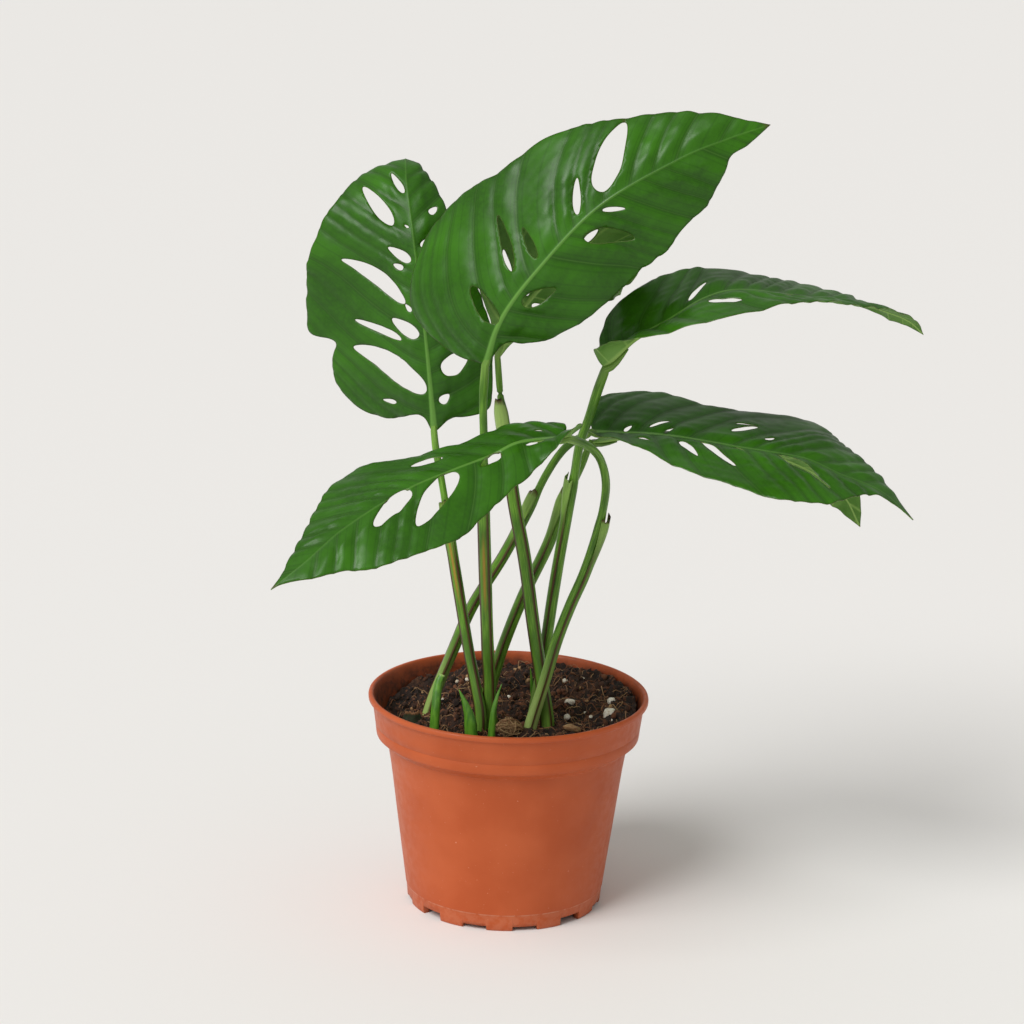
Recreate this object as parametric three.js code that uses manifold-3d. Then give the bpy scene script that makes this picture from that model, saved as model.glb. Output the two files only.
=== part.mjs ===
// A swiss cheese vine in a small terracotta-coloured plastic nursery pot: seven holed leaves on
// long petioles, young shoots, and the potting mix they grow in.
// Millimetres, +Z up. The origin is on the resting plane, on the pot's axis; the front is towards -Y.
import * as THREE from "three";
import { mergeVertices } from "three/addons/utils/BufferGeometryUtils.js";
import Module from "manifold-3d";

const wasm = await Module();
wasm.setup();

const { cos, sin, PI, hypot, atan2, abs, max, min } = Math;
const DEGREE = PI / 180;

// Clearance between two pieces that touch on the real plant.
const GAP = 0.3;
// Length of petiole left off below the base of a blade.
const JOINT_GAP = 0.7;

// Pot: a 10.5 cm nursery pot with a tall rim band, a shoulder and a notched foot.
const POT = {
  height: 81,
  lipRadius: 52.5,
  lipDepth: 2.2,
  bandTopRadius: 51,
  bandFootRadius: 49.3,
  bandFoot: 65.3,
  shoulder: 62,
  bodyTopRadius: 44.8,
  footRadius: 36.6,
  wall: 1.5,
  floorUnder: 3.2,
  floorTop: 5,
  padRadius: 13,
  footRing: 2.4,
  segments: 60,
};
const NOTCH = { count: 12, width: 9.4, tall: 3, low: 1.7, firstTurn: 13 };
const DRAIN = { count: 6, radius: 2.4, circle: 23 };

// Potting mix: higher at the back and on the right, with a hollow on the left.
const SOIL = {
  level: 73,
  slopeRight: 0.05,
  slopeBack: 0.06,
  hollowDepth: 4.5,
  hollow: { x: -36, y: 4, radius: 15 },
};

// Leaf blade thickness as built; the finished blade lies inside it.
const BLADE = 0.9;
// A pinprick narrower than this is left out of the solid blade.
const SMALLEST_HOLE = 2;
// How far a socket in the mix runs on past the second point of its petiole.
const SOCKET_RISE = 8;
// Section of a petiole: a little wider than deep, with a shallow channel along its upper side.
const SECTION = { sides: 8, depth: 0.92, channel: 0.72, channelSide: 2 };
// Number of lengths a petiole is built in.
const PETIOLE_STEPS = 18;
// Blade faces: across both halves, and along the midrib.
const BLADE_FACES = { across: 6, along: 18 };

// Each blade is laid out flat in its own frame: across the midrib, and along it from the base.
// midrib: points of the midrib in space. face: where the upper face looks, base to tip.
// foldLeft, foldRight: how each half lifts from the midrib, as [along, degrees].
// curl: how far a half bends over 40 mm of width, in degrees.
// left, right: the margin as [across, along]. holes: [across, along, across, along, width],
// from the end near the midrib to the outer end; a negative across is on the right half.
// A sixth value bows a hole towards the leaf's tip.
const LEAVES = [
  {
    name: "leaf_back_left",
    midrib: [
      [-30, 12, 178], [-33, 8, 209], [-36, 8, 232], [-39, 12, 252], [-42, 24, 269],
      [-43, 38, 275], [-44, 52, 270],
    ],
    face: [[-0.4, -0.88, 0.3], [-0.4, -0.85, 0.3], [-0.05, -0.5, 0.85]],
    foldLeft: [[0, 0], [95, 0], [112, -4], [127, -22]],
    foldRight: [[0, -28], [60, -28], [125, -32]],
    curl: [-10, -10],
    left: [
      [1, 0], [5, 6], [20, 3], [33, 6], [41, 14], [42, 24], [39, 33], [50, 37], [51, 48],
      [49, 58], [43, 76], [34, 89.5], [25, 98], [18.5, 106.5], [11, 118], [0, 127],
    ],
    right: [
      [1, 0], [6, 4], [13, 4.5], [20, 6], [22.5, 11], [23.2, 21], [24.1, 31], [24, 40],
      [21.5, 51], [19, 62], [16, 76], [14, 84], [12, 92], [8, 102], [3, 113], [0, 127],
    ],
    holes: [
      [7, 80, 16.5, 99, 5, -0.5], [1.5, 91.5, 5.2, 101, 2.4], [-7, 82, -10, 85, 2.5],
      [1.3, 77.5, 2.6, 78.8, 0.8], [-2.4, 69.8, -5.6, 72.6, 2.2], [2.1, 65, 10, 71.5, 3.4],
      [5.3, 62.5, 9, 64.8, 1.9], [6, 50, 30, 70, 5.8, 1.4], [4, 46.7, 6, 49.5, 1.8],
      [9.7, 35.8, 29, 43.5, 3.4], [2.6, 37.1, 13, 43.8, 5], [1.8, 15.5, 31, 31.5, 9.2, 2.4],
      [-5.2, 22.8, -14.6, 29.4, 7], [-3.1, 11.2, -6.7, 14, 3], [14.6, 10, 20.2, 10.5, 1.6],
    ],
  },
  {
    name: "leaf_top_front",
    midrib: [
      [-11, -38, 214], [-6, -42, 231], [6, -44, 249], [27, -43, 272], [54, -37, 288],
      [71, -33, 295], [86, -30, 300],
    ],
    face: [[-0.35, -0.88, 0.3], [-0.35, -0.88, 0.3]],
    foldLeft: [[0, 0], [138, 0]],
    foldRight: [[0, -34], [70, -32], [138, -15]],
    curl: [-20, -18],
    left: [
      [1, 0], [17, -2], [34, 2], [43, 16], [46, 26], [44, 42], [37, 56], [34, 72], [25, 92],
      [19, 106], [12, 119], [5, 130], [0, 138],
    ],
    right: [
      [1, 0], [3, 8], [6, 11.5], [12, 13], [18, 20], [24, 34], [26, 45], [28, 63], [27, 83],
      [22, 95], [19, 106], [11, 117], [5.5, 122], [4, 129], [0, 138],
    ],
    holes: [
      [4, 74.5, 22, 94.5, 8.5], [2.8, 64, 13, 71.5, 2.8], [-1.8, 71.5, -5.6, 78.5, 1.6],
      [-4.6, 60, -16.5, 75.5, 5.5], [6.5, 34.5, 25.5, 44.5, 4], [3, 43.5, 14.7, 47.5, 2.9],
      [0.6, 17, 16, 21.3, 5.5], [-3.6, 27.7, -8.9, 39.6, 5],
    ],
  },
  {
    name: "leaf_top_behind",
    midrib: [
      [-7, -8, 211], [-1, -11.5, 225], [8, -12.5, 237.5], [19.3, -10, 246], [31.6, -6, 250.2],
      [41, -1, 251], [47.3, 3.5, 249.9],
    ],
    face: [[0.35, 0.9, 0.35], [0.3, 0.9, 0.45]],
    foldLeft: [[0, -15], [90, -10]],
    foldRight: [[0, -15], [90, -10]],
    curl: [-12, -12],
    left: [
      [1, 0], [2.5, 6], [5, 13], [8.6, 21], [13, 34], [17, 50], [19.5, 62], [20, 72], [17, 78],
      [8, 78.5], [0, 78],
    ],
    right: [
      [1, 0], [4, 5.6], [8, 12], [17, 19], [24, 23.5], [31, 29], [36, 34.5], [32, 39.5],
      [26.5, 43.5], [22, 47.5], [18, 52], [14.5, 58], [10, 65], [4, 73], [0, 78],
    ],
    holes: [
      [-12, 28.5, -21, 31.5, 1.3], [-7, 51, -11.5, 55.5, 2.4], [-1.6, 26, -6.5, 28.5, 2.2],
      [1.8, 24, 6, 26.5, 2.2],
    ],
  },
  {
    name: "leaf_front_left",
    midrib: [
      [18, -55, 193], [2, -63, 193], [-9, -69, 189], [-35, -84, 181], [-56, -97, 170],
      [-69, -106, 160], [-80, -112, 152],
    ],
    face: [[0, -0.37, 0.93], [0, -0.37, 0.93]],
    foldLeft: [[-10, 75], [2, 50], [16, -10], [123, -12]],
    foldRight: [[0, -12], [20, -20], [60, -15], [123, -8]],
    curl: [-10, -6],
    left: [
      [1, 0], [4, -4], [8, -3], [11, 4], [12, 12], [14, 20], [18, 34], [24, 49], [27, 61],
      [25, 74], [22, 85], [18, 95], [12, 102], [6, 111], [1.5, 118], [0, 123],
    ],
    right: [
      [1, 0], [10, -4], [16, 4], [17, 14], [17, 26], [20, 38], [25, 50], [32, 59], [31, 68],
      [27, 79], [20, 89], [12, 99], [7, 109], [2, 118], [0, 123],
    ],
    holes: [
      [-10, 43.5, -14, 54, 4.5], [1.8, 45, 15, 70, 8], [0.8, 63, 6.4, 82, 6.5],
      [0.6, 26.7, 3.6, 36, 4], [3, 10, 2.5, 17, 2.5], [-5, 7, -5.5, 10, 0.8],
    ],
  },
  {
    name: "leaf_upper_right",
    midrib: [
      [32, -15, 209], [41, -17, 220], [53, -20, 228], [66, -22, 237], [79, -20, 240],
      [101, -14, 237], [123, -4, 233], [141, 6, 226], [149, 12, 219],
    ],
    face: [
      [-0.2, -0.4, 0.9], [0, -0.25, 0.95], [0, -0.06, 0.97], [0, -0.06, 0.97], [0, 0, 0.95],
    ],
    foldLeft: [[0, 22], [35, 8], [60, 2], [110, 2], [120, -20], [141, -70]],
    foldRight: [
      [0, 110], [3, 100], [6, 76], [10, 54], [16, 32], [24, 19], [33, 11], [44, 3], [60, -3],
      [80, 4], [141, 8],
    ],
    curl: [-6, -8],
    left: [
      [1, 0], [7, 3], [14, 9], [21, 15], [27, 23], [29, 34], [25, 46], [21, 60], [22, 76],
      [21, 92], [16, 107], [8, 120], [2.5, 132], [0, 141],
    ],
    right: [
      [1, 0], [4, 0.5], [8, 3], [10, 6], [13, 10], [15.5, 16], [17.5, 24], [19, 33], [20.5, 44],
      [21, 56], [19, 70], [16, 85], [12, 100], [8, 115], [4, 130], [0, 141],
    ],
    holes: [
      [3.5, 39.3, 9, 48, 3.3], [-6, 46, -10.5, 56, 3], [-3.6, 25.5, -5.4, 32, 2.2],
      [-1.8, 69, -7.2, 85.5, 2.4],
    ],
  },
  {
    name: "leaf_lower_right",
    midrib: [
      [28, 0, 182], [54, -6, 183], [82, -14, 181], [104, -20, 179], [117, -22, 174],
      [132, -22, 168], [145, -20, 157],
    ],
    face: [[0, -0.1, 0.98], [0, -0.15, 0.95], [0.1, -0.25, 0.95], [0.2, -0.3, 0.9]],
    foldLeft: [[0, 20], [42, 8], [84, 0]],
    foldRight: [[0, 8], [42, 0], [127, -5]],
    curl: [-15, -15],
    left: [
      [1, 0], [12, -3], [22, 0], [30, 8], [34, 20], [29, 32], [30, 44], [34, 56], [40, 68],
      [38, 80], [31, 93], [21, 102], [11, 109], [4, 118], [0, 127],
    ],
    right: [
      [1, 0], [4, -1], [9, 6], [14, 15], [18, 24], [24, 40], [27, 58], [29, 72], [28, 80],
      [23, 90], [16, 96], [8, 103], [3, 112], [1, 119], [0, 127],
    ],
    holes: [
      [1, 12, 3.5, 14.5, 1.5], [3.7, 21, 8, 27.5, 1.6], [1.5, 27, 5, 29.5, 1.2],
      [9, 50, 16, 58.5, 2.6], [7, 63, 10, 66, 1.2], [-8, 19, -10, 24, 1.2],
      [-5, 34, -13, 43, 2.4], [-2.7, 41, -13.5, 57, 3], [-1, 54, -4, 58, 1.8],
      [-1.9, 70, -12, 91, 4], [15, 50, 17, 58, 0.8],
    ],
  },
  {
    name: "leaf_lower_behind",
    midrib: [
      [28, 13, 175], [48, 23, 176], [70, 31, 173], [92, 37, 168], [112, 40, 160],
      [126, 41, 150], [133, 39, 138],
    ],
    face: [[-0.1, 0.35, 0.9], [0.1, 0.3, 0.9], [0.3, 0.85, 0.3]],
    foldLeft: [[0, -2], [10, 0], [25, 8], [55, 8], [75, -4], [130, -8]],
    foldRight: [[0, -5], [130, -8]],
    curl: [-4, -10],
    left: [
      [1, 0], [6, 2], [15, 4], [22, 12], [26, 28], [27, 46], [25, 64], [20, 82], [13, 98],
      [5, 114], [0, 128],
    ],
    right: [
      [1, 0], [6, 2], [11, 4], [14, 12], [16, 28], [17, 46], [17, 64], [17, 82], [12, 98],
      [5, 114], [0, 128],
    ],
    holes: [
      [4, 35, 14, 45, 5], [-4, 32, -10, 40, 4], [4, 56, 14, 68, 4], [-4, 54, -11, 63, 3],
    ],
  },
];

// Petioles, from the mix to the base of the blade; radius is half their thickness.
const PETIOLES = [
  {
    name: "petiole_back_left",
    radius: 1.8,
    path: [
      [-10, -19, 66], [-10, -17, 78], [-12, -14, 88], [-15, -10, 101], [-19, -4, 122],
      [-22, -1, 132], [-26, 6, 157], [-29, 10, 171], [-30, 12, 178],
    ],
  },
  {
    name: "petiole_top_front",
    radius: 2.1,
    path: [
      [-5.5, -11, 66], [-6.5, -13, 77], [-7, -15, 91], [-8, -18, 107], [-9.5, -24, 139],
      [-10.5, -28, 163], [-11, -33, 186], [-11.5, -36, 201], [-11, -38, 214],
    ],
  },
  {
    name: "petiole_top_behind",
    radius: 2.2,
    path: [
      [15.5, -13, 66], [14.5, -13, 77], [12, -12, 92], [8.5, -11.5, 113], [5, -11, 136],
      [0.5, -10, 158], [-3, -9, 180], [-5.5, -8.5, 196], [-7, -8, 211],
    ],
  },
  {
    name: "petiole_front_left",
    radius: 2,
    short: 1.1,
    path: [
      [7, -17, 66], [8.5, -17, 75], [13, -18.5, 92], [17, -20, 108], [21.5, -22, 122],
      [26, -24, 134], [29.5, -26, 146], [32, -28, 158], [33, -31, 170], [31, -35, 179.5],
      [27.5, -41, 185.5], [23, -47.5, 189.5], [18, -55, 192.6],
    ],
  },
  {
    name: "petiole_upper_right",
    radius: 2,
    path: [
      [9, -2, 66], [10.5, -3, 77], [13.5, -5, 101], [15.5, -6.5, 119], [17.5, -8, 135],
      [20, -9.5, 153], [22, -11, 168], [23.5, -12, 180], [26.5, -13, 190], [29.5, -14, 201],
      [32, -15, 209],
    ],
  },
  {
    name: "petiole_lower_right",
    radius: 1.9,
    path: [
      [-32, 12, 60], [-28, 11, 75], [-21, 9.5, 94], [-14, 8, 112], [-2.5, 5.5, 133],
      [5.5, 4, 150], [12, 2.5, 165], [19, 1, 176], [28, 0, 182],
    ],
  },
  {
    name: "petiole_lower_behind",
    radius: 2.1,
    short: 1.7,
    path: [
      [-11, 20, 66], [-8, 19.5, 73], [-2, 18, 94], [5, 16.5, 114], [13.5, 15, 134],
      [19.5, 14, 152], [25, 13, 166], [28, 13, 175],
    ],
  },
];

// Young shoots: each tapers from its widest part to a point; widest is a share of the length.
const SHOOTS = [
  { name: "shoot_sheathed", foot: [-27, -21, 64], tip: [-26, -15, 92], radius: 1.8, widest: 0.7 },
  { name: "shoot_bud", foot: [-13, -27, 64], tip: [-18.5, -25, 89], radius: 2.5, widest: 0.4 },
  { name: "shoot_pointed", foot: [-6, -28.5, 64], tip: [-2.5, -27, 92], radius: 1.5, widest: 0.3 },
  { name: "shoot_spike", foot: [9.5, 10, 66], tip: [7.5, 8, 87], radius: 0.9, widest: 0.3 },
];

// Loose things that lie half sunk in the mix: centre over the mix, and half sizes.
const LUMPS = [
  { name: "perlite_large", at: [38, -8], size: [2.6, 2.2, 2.8], lift: 1.2, colour: 0xe6ddc2 },
  { name: "perlite_medium", at: [23, 8], size: [2.3, 1.1, 1.2], lift: 0.4, colour: 0xe4e0d4 },
  { name: "perlite_small", at: [22, -7], size: [1.3, 1.3, 1.2], lift: 0.4, colour: 0xe9e6dc },
  { name: "perlite_back", at: [28, 29], size: [1.9, 1.6, 1.5], lift: 0.5, colour: 0xcdbd93 },
  { name: "bark_chip", at: [24, -19], size: [4.2, 1.8, 1.4], lift: 0.4, colour: 0xb78a5b },
  { name: "fibre_tangle", at: [0.5, -19.5], size: [3.4, 3, 2.4], lift: 0.8, colour: 0xa5764c },
  { name: "old_leaf_scrap", at: [-36, -2], size: [4.6, 5.5, 2], lift: 1.2, colour: 0x2f3a20 },
];

const material = (color, roughness) =>
  new THREE.MeshStandardMaterial({ color, roughness, metalness: 0 });
const LOOKS = {
  pot: material(0xb0512e, 0.55),
  soil: material(0x37231a, 0.95),
  leaf: material(0x2c6a1f, 0.38),
  petiole: material(0x3d7326, 0.45),
  shoot: material(0x4f9a2c, 0.45),
};

// A closed geometry as a solid; its seams are joined first.
function solid(geometry) {
  const bare = geometry.clone();
  bare.deleteAttribute("normal");
  bare.deleteAttribute("uv");
  const joined = mergeVertices(bare, 1e-4);
  const mesh = new wasm.Mesh({
    numProp: 3,
    vertProperties: new Float32Array(joined.attributes.position.array),
    triVerts: new Uint32Array(joined.index.array),
  });
  return new wasm.Manifold(mesh);
}

function geometryOf(made) {
  const { vertProperties, triVerts } = made.getMesh();
  const geometry = new THREE.BufferGeometry();
  geometry.setAttribute("position", new THREE.BufferAttribute(new Float32Array(vertProperties), 3));
  geometry.setIndex(new THREE.BufferAttribute(new Uint32Array(triVerts), 1));
  geometry.computeVertexNormals();
  return geometry;
}

function piece(name, geometry, look) {
  const mesh = new THREE.Mesh(geometry, look);
  mesh.name = name;
  return mesh;
}

const vector = ([x, y, z]) => new THREE.Vector3(x, y, z);
const flat = ([across, along]) => new THREE.Vector2(across, along);

// The height of the mix at a place in the pot.
function soilHeight(x, y) {
  const { hollow } = SOIL;
  const away = hypot(x - hollow.x, y - hollow.y) / hollow.radius;
  const dip = SOIL.hollowDepth * max(0, 1 - away * away);
  return SOIL.level + SOIL.slopeRight * x + SOIL.slopeBack * y - dip;
}

// Outline of the wall from the shoulder down, pushed out or in by an offset.
function bodyRadius(z) {
  const share = z / POT.shoulder;
  return POT.footRadius + (POT.bodyTopRadius - POT.footRadius) * share;
}

function bandRadius(z) {
  const share = (z - POT.bandFoot) / (POT.height - POT.lipDepth - POT.bandFoot);
  return POT.bandFootRadius + (POT.bandTopRadius - POT.bandFootRadius) * share;
}

// Inner face of the wall above the shoulder.
function insideRadius(z) {
  const low = POT.bandFoot - POT.wall + 1;
  const high = POT.height - POT.lipDepth - 0.5;
  const narrow = POT.bandFootRadius - POT.wall - 0.6;
  const wide = POT.bandTopRadius - POT.wall;
  return narrow + ((wide - narrow) * (z - low)) / (high - low);
}

function pot() {
  const { wall, height, lipRadius, lipDepth, bandFoot, shoulder } = POT;
  const underLip = height - lipDepth;
  const ledge = bandFoot - wall;
  const inFoot = POT.footRadius - POT.footRing;
  const profile = [
    [0, POT.floorTop],
    [bodyRadius(POT.floorTop) - wall, POT.floorTop],
    [bodyRadius(shoulder - 2) - wall, shoulder - 2],
    [bandRadius(bandFoot) - wall - 0.6, ledge + 1],
    [bandRadius(underLip) - wall, underLip - 0.5],
    [lipRadius - 2.1, height - 0.5],
    [lipRadius - 1.5, height],
    [lipRadius - 0.5, height],
    [lipRadius, height - 0.6],
    [lipRadius, underLip + 0.3],
    [bandRadius(underLip), underLip],
    [bandRadius(bandFoot + 4), bandFoot + 4],
    [bandRadius(bandFoot + 0.8), bandFoot + 0.8],
    [bandRadius(bandFoot) - 0.6, bandFoot],
    [bodyRadius(shoulder) + 0.4, shoulder + 0.4],
    [bodyRadius(shoulder - 1), shoulder - 1],
    [POT.footRadius, 0],
    [inFoot, 0],
    [inFoot, POT.floorUnder],
    [POT.padRadius, POT.floorUnder],
    [POT.padRadius, 0],
    [0, 0],
  ];
  const points = profile.map(flat).reverse();
  const lathe = new THREE.LatheGeometry(points, POT.segments).rotateX(PI / 2);
  let made = solid(lathe);
  for (let i = 0; i < NOTCH.count; i++) {
    const turn = (NOTCH.firstTurn + (i * 360) / NOTCH.count) * DEGREE;
    const tall = i % 3 === 1;
    const rise = tall ? NOTCH.tall : NOTCH.low;
    const cutter = new THREE.BoxGeometry(NOTCH.width, 8, 2 * rise);
    cutter.translate(0, -POT.footRadius, 0).rotateZ(turn);
    made = made.subtract(solid(cutter));
  }
  for (let i = 0; i < DRAIN.count; i++) {
    const turn = ((i + 0.5) / DRAIN.count) * 2 * PI;
    const drill = new THREE.CylinderGeometry(DRAIN.radius, DRAIN.radius, 12, 10).rotateX(PI / 2);
    drill.translate(DRAIN.circle * cos(turn), DRAIN.circle * sin(turn), POT.floorTop);
    made = made.subtract(solid(drill));
  }
  return made;
}

function petioleSection(radius) {
  const shape = new THREE.Shape();
  for (let i = 0; i < SECTION.sides; i++) {
    const turn = (i / SECTION.sides) * 2 * PI;
    const channel = i === SECTION.channelSide ? SECTION.channel : 1;
    const x = radius * cos(turn);
    const y = radius * SECTION.depth * sin(turn) * channel;
    if (i === 0) shape.moveTo(x, y);
    else shape.lineTo(x, y);
  }
  return shape;
}

// A petiole's section drawn along a path that stops short of its last point.
function tube(path, radius, steps, endGap) {
  const curve = new THREE.CatmullRomCurve3(path.map(vector), false, "catmullrom", 0.5);
  const end = 1 - endGap / curve.getLength();
  const points = [];
  for (let i = 0; i <= steps; i++) points.push(curve.getPointAt((i / steps) * end));
  const route = new THREE.CatmullRomCurve3(points);
  return new THREE.ExtrudeGeometry(petioleSection(radius), {
    steps,
    bevelEnabled: false,
    extrudePath: route,
  });
}

// A shoot as a lathed spindle turned to lean from its foot to its tip.
function shoot({ foot, tip, radius, widest }, swell) {
  const from = vector(foot);
  const length = from.distanceTo(vector(tip));
  const outline = [
    [0, -swell],
    [radius * 0.75 + swell, -swell],
    [radius + swell, length * widest],
    [radius * 0.55 + swell, length * (widest + (1 - widest) * 0.6)],
    [0.25 + swell, length],
    [0, length + swell],
  ];
  const spindle = new THREE.LatheGeometry(outline.map(flat), 8);
  const lean = vector(tip).sub(from).normalize();
  const turn = new THREE.Quaternion().setFromUnitVectors(new THREE.Vector3(0, 1, 0), lean);
  return spindle.applyQuaternion(turn).translate(from.x, from.y, from.z);
}

function lump({ at, size, lift }, swell) {
  const [x, y] = at;
  const [a, b, c] = size.map((half) => half + swell);
  const stone = new THREE.IcosahedronGeometry(1, 1).scale(a, b, c);
  return stone.translate(x, y, soilHeight(x, y) + lift);
}

function soil(sockets) {
  const floor = POT.floorTop + GAP;
  const inside = POT.wall + GAP;
  const edge = SOIL.level;
  const profile = [
    [0, floor],
    [bodyRadius(floor) - inside, floor],
    [bodyRadius(POT.shoulder - 2) - inside, POT.shoulder - 2 + GAP],
    [bandRadius(POT.bandFoot) - inside - 0.6, POT.bandFoot - POT.wall + 1 + GAP],
    [bandRadius(edge) - POT.wall, edge],
    [41, edge],
    [33, edge],
    [24, edge],
    [14, edge],
    [0, edge],
  ];
  const body = new THREE.LatheGeometry(profile.map(flat), POT.segments / 2).rotateX(PI / 2);
  const { position } = body.attributes;
  for (let i = 0; i < position.count; i++) {
    const [x, y, z] = [position.getX(i), position.getY(i), position.getZ(i)];
    if (z < edge - 0.01) continue;
    const top = soilHeight(x, y);
    const pull = min(1, (insideRadius(top) - GAP) / max(hypot(x, y), 1));
    position.setXYZ(i, x * pull, y * pull, top);
  }
  let made = solid(body);
  for (const socket of sockets) made = made.subtract(solid(socket));
  return made;
}

// A value read off a list of [along, value] pairs.
function readAlong(pairs, along) {
  if (along <= pairs[0][0]) return pairs[0][1];
  for (let i = 1; i < pairs.length; i++) {
    const [from, a] = pairs[i - 1];
    const [to, b] = pairs[i];
    if (along <= to) return a + ((b - a) * (along - from)) / (to - from);
  }
  return pairs[pairs.length - 1][1];
}

function readEvenly(list, share) {
  const place = min(max(share, 0), 1) * (list.length - 1);
  const before = min(Math.floor(place), list.length - 2);
  return vector(list[before]).lerp(vector(list[before + 1]), place - before);
}

// Bends the flat layout of a leaf into space: [across, along, height] to a point.
function leafSurface(leaf) {
  const midrib = new THREE.CatmullRomCurve3(leaf.midrib.map(vector), false, "catmullrom", 0.5);
  midrib.arcLengthDivisions = 400;
  const length = midrib.getLength();
  const place = (across, along, height) => {
    const inside = min(max(along, 0), length);
    const tangent = midrib.getTangentAt(inside / length);
    const centre = midrib.getPointAt(inside / length).addScaledVector(tangent, along - inside);
    const up = readEvenly(leaf.face, along / length);
    up.addScaledVector(tangent, -up.dot(tangent)).normalize();
    const side = new THREE.Vector3().crossVectors(up, tangent);
    const left = across >= 0;
    const fold = readAlong(left ? leaf.foldLeft : leaf.foldRight, along) * DEGREE;
    const curl = (leaf.curl[left ? 0 : 1] * DEGREE) / 40;
    const sign = left ? 1 : -1;
    const lean = fold + curl * abs(across);
    const out = (sign * (sin(lean) - sin(fold))) / curl;
    const lift = (cos(fold) - cos(lean)) / curl;
    const point = centre.addScaledVector(side, out).addScaledVector(up, lift);
    const normal = up.multiplyScalar(cos(lean)).addScaledVector(side, -sign * sin(lean));
    return point.addScaledVector(normal, height);
  };
  return { length, place };
}

// Moves every vertex of a geometry laid out in leaf space onto the bent blade.
function bend(geometry, toLeaf, place) {
  const { position } = geometry.attributes;
  for (let i = 0; i < position.count; i++) {
    const [across, along, height] = toLeaf(position.getX(i), position.getY(i), position.getZ(i));
    const point = place(across, along, height);
    position.setXYZ(i, point.x, point.y, point.z);
  }
  return geometry;
}

// A hole's outline: an ellipse, fuller towards its inner end.
function holeOutline([fromAcross, fromAlong, toAcross, toAlong, width, bow = 0]) {
  const middle = [(fromAcross + toAcross) / 2, (fromAlong + toAlong) / 2];
  const half = hypot(toAcross - fromAcross, toAlong - fromAlong) / 2;
  const turn = atan2(toAlong - fromAlong, toAcross - fromAcross);
  const count = half > 8 ? 10 : 8;
  const points = [];
  for (let i = 0; i < count; i++) {
    const around = (i / count) * 2 * PI;
    const x = half * cos(around);
    const fuller = 1 - 0.2 * cos(around);
    const y = (width / 2) * sin(around) * fuller;
    const tipward = bow * (1 - cos(around) ** 2);
    const across = middle[0] + x * cos(turn) - y * sin(turn);
    points.push(new THREE.Vector2(-across, middle[1] + x * sin(turn) + y * cos(turn) + tipward));
  }
  return points;
}

function blade(leaf) {
  const { length, place } = leafSurface(leaf);
  const margins = { left: null, right: null };
  for (const half of ["left", "right"]) {
    const points = leaf[half].map(flat);
    points[points.length - 1].y = length;
    margins[half] = new THREE.SplineCurve(points);
  }
  const toLeaf = (x, y, z) => {
    const share = y + 0.5;
    const margin = (x < 0 ? margins.left : margins.right).getPointAt(share);
    const width = max(margin.x, 0.4) * abs(x);
    const root = length * share ** 1.4;
    const along = root + (margin.y - root) * abs(x);
    return [x < 0 ? width : -width, along + (share === 0 ? 0.3 : 0), z * BLADE];
  };
  const slab = new THREE.BoxGeometry(2, 1, 1, BLADE_FACES.across, BLADE_FACES.along, 1);
  const sheet = bend(slab, toLeaf, place);
  let made = solid(sheet);
  for (const hole of leaf.holes) {
    if (hole[4] < SMALLEST_HOLE) continue;
    const shape = new THREE.Shape(holeOutline(hole));
    const cutter = new THREE.ExtrudeGeometry(shape, { depth: 3, bevelEnabled: false });
    cutter.translate(0, 0, -1.5);
    const asIs = (x, y, z) => [-x, y, z];
    made = made.subtract(solid(bend(cutter, asIs, place)));
  }
  return made;
}

const plant = new THREE.Group();
const inMix = (path) => [vector(path[0]), vector(path[1])];
const sockets = [];

plant.add(piece("pot", geometryOf(pot()), LOOKS.pot));

for (const { name, path, radius, short } of PETIOLES) {
  const stem = tube(path, radius, PETIOLE_STEPS, short ?? JOINT_GAP);
  plant.add(piece(name, geometryOf(solid(stem)), LOOKS.petiole));
  const [foot, next] = inMix(path);
  const down = foot.clone().sub(next).normalize();
  const start = foot.clone().addScaledVector(down, GAP);
  const stop = next.clone().addScaledVector(down, -SOCKET_RISE);
  const socketPath = [start, foot, next, stop].map((p) => p.toArray());
  sockets.push(tube(socketPath, radius + GAP + 0.25, 6, 0));
}

for (const one of SHOOTS) {
  plant.add(piece(one.name, geometryOf(solid(shoot(one, 0))), LOOKS.shoot));
  sockets.push(shoot(one, GAP));
}

for (const one of LUMPS) {
  plant.add(piece(one.name, geometryOf(solid(lump(one, 0))), material(one.colour, 0.9)));
  sockets.push(lump(one, GAP));
}

plant.add(piece("potting_mix", geometryOf(soil(sockets)), LOOKS.soil));

for (const leaf of LEAVES) plant.add(piece(leaf.name, geometryOf(blade(leaf)), LOOKS.leaf));

export default plant;
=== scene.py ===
"""A potted swiss cheese vine: holed leaves on long petioles, young shoots and potting mix in a
small terracotta-coloured nursery pot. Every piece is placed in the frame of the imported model."""

import bmesh
import bpy
import numpy as np
from bpy.props import FloatProperty, FloatVectorProperty, IntProperty, PointerProperty
from mathutils import Matrix, Vector
from mathutils.geometry import delaunay_2d_cdt


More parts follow.
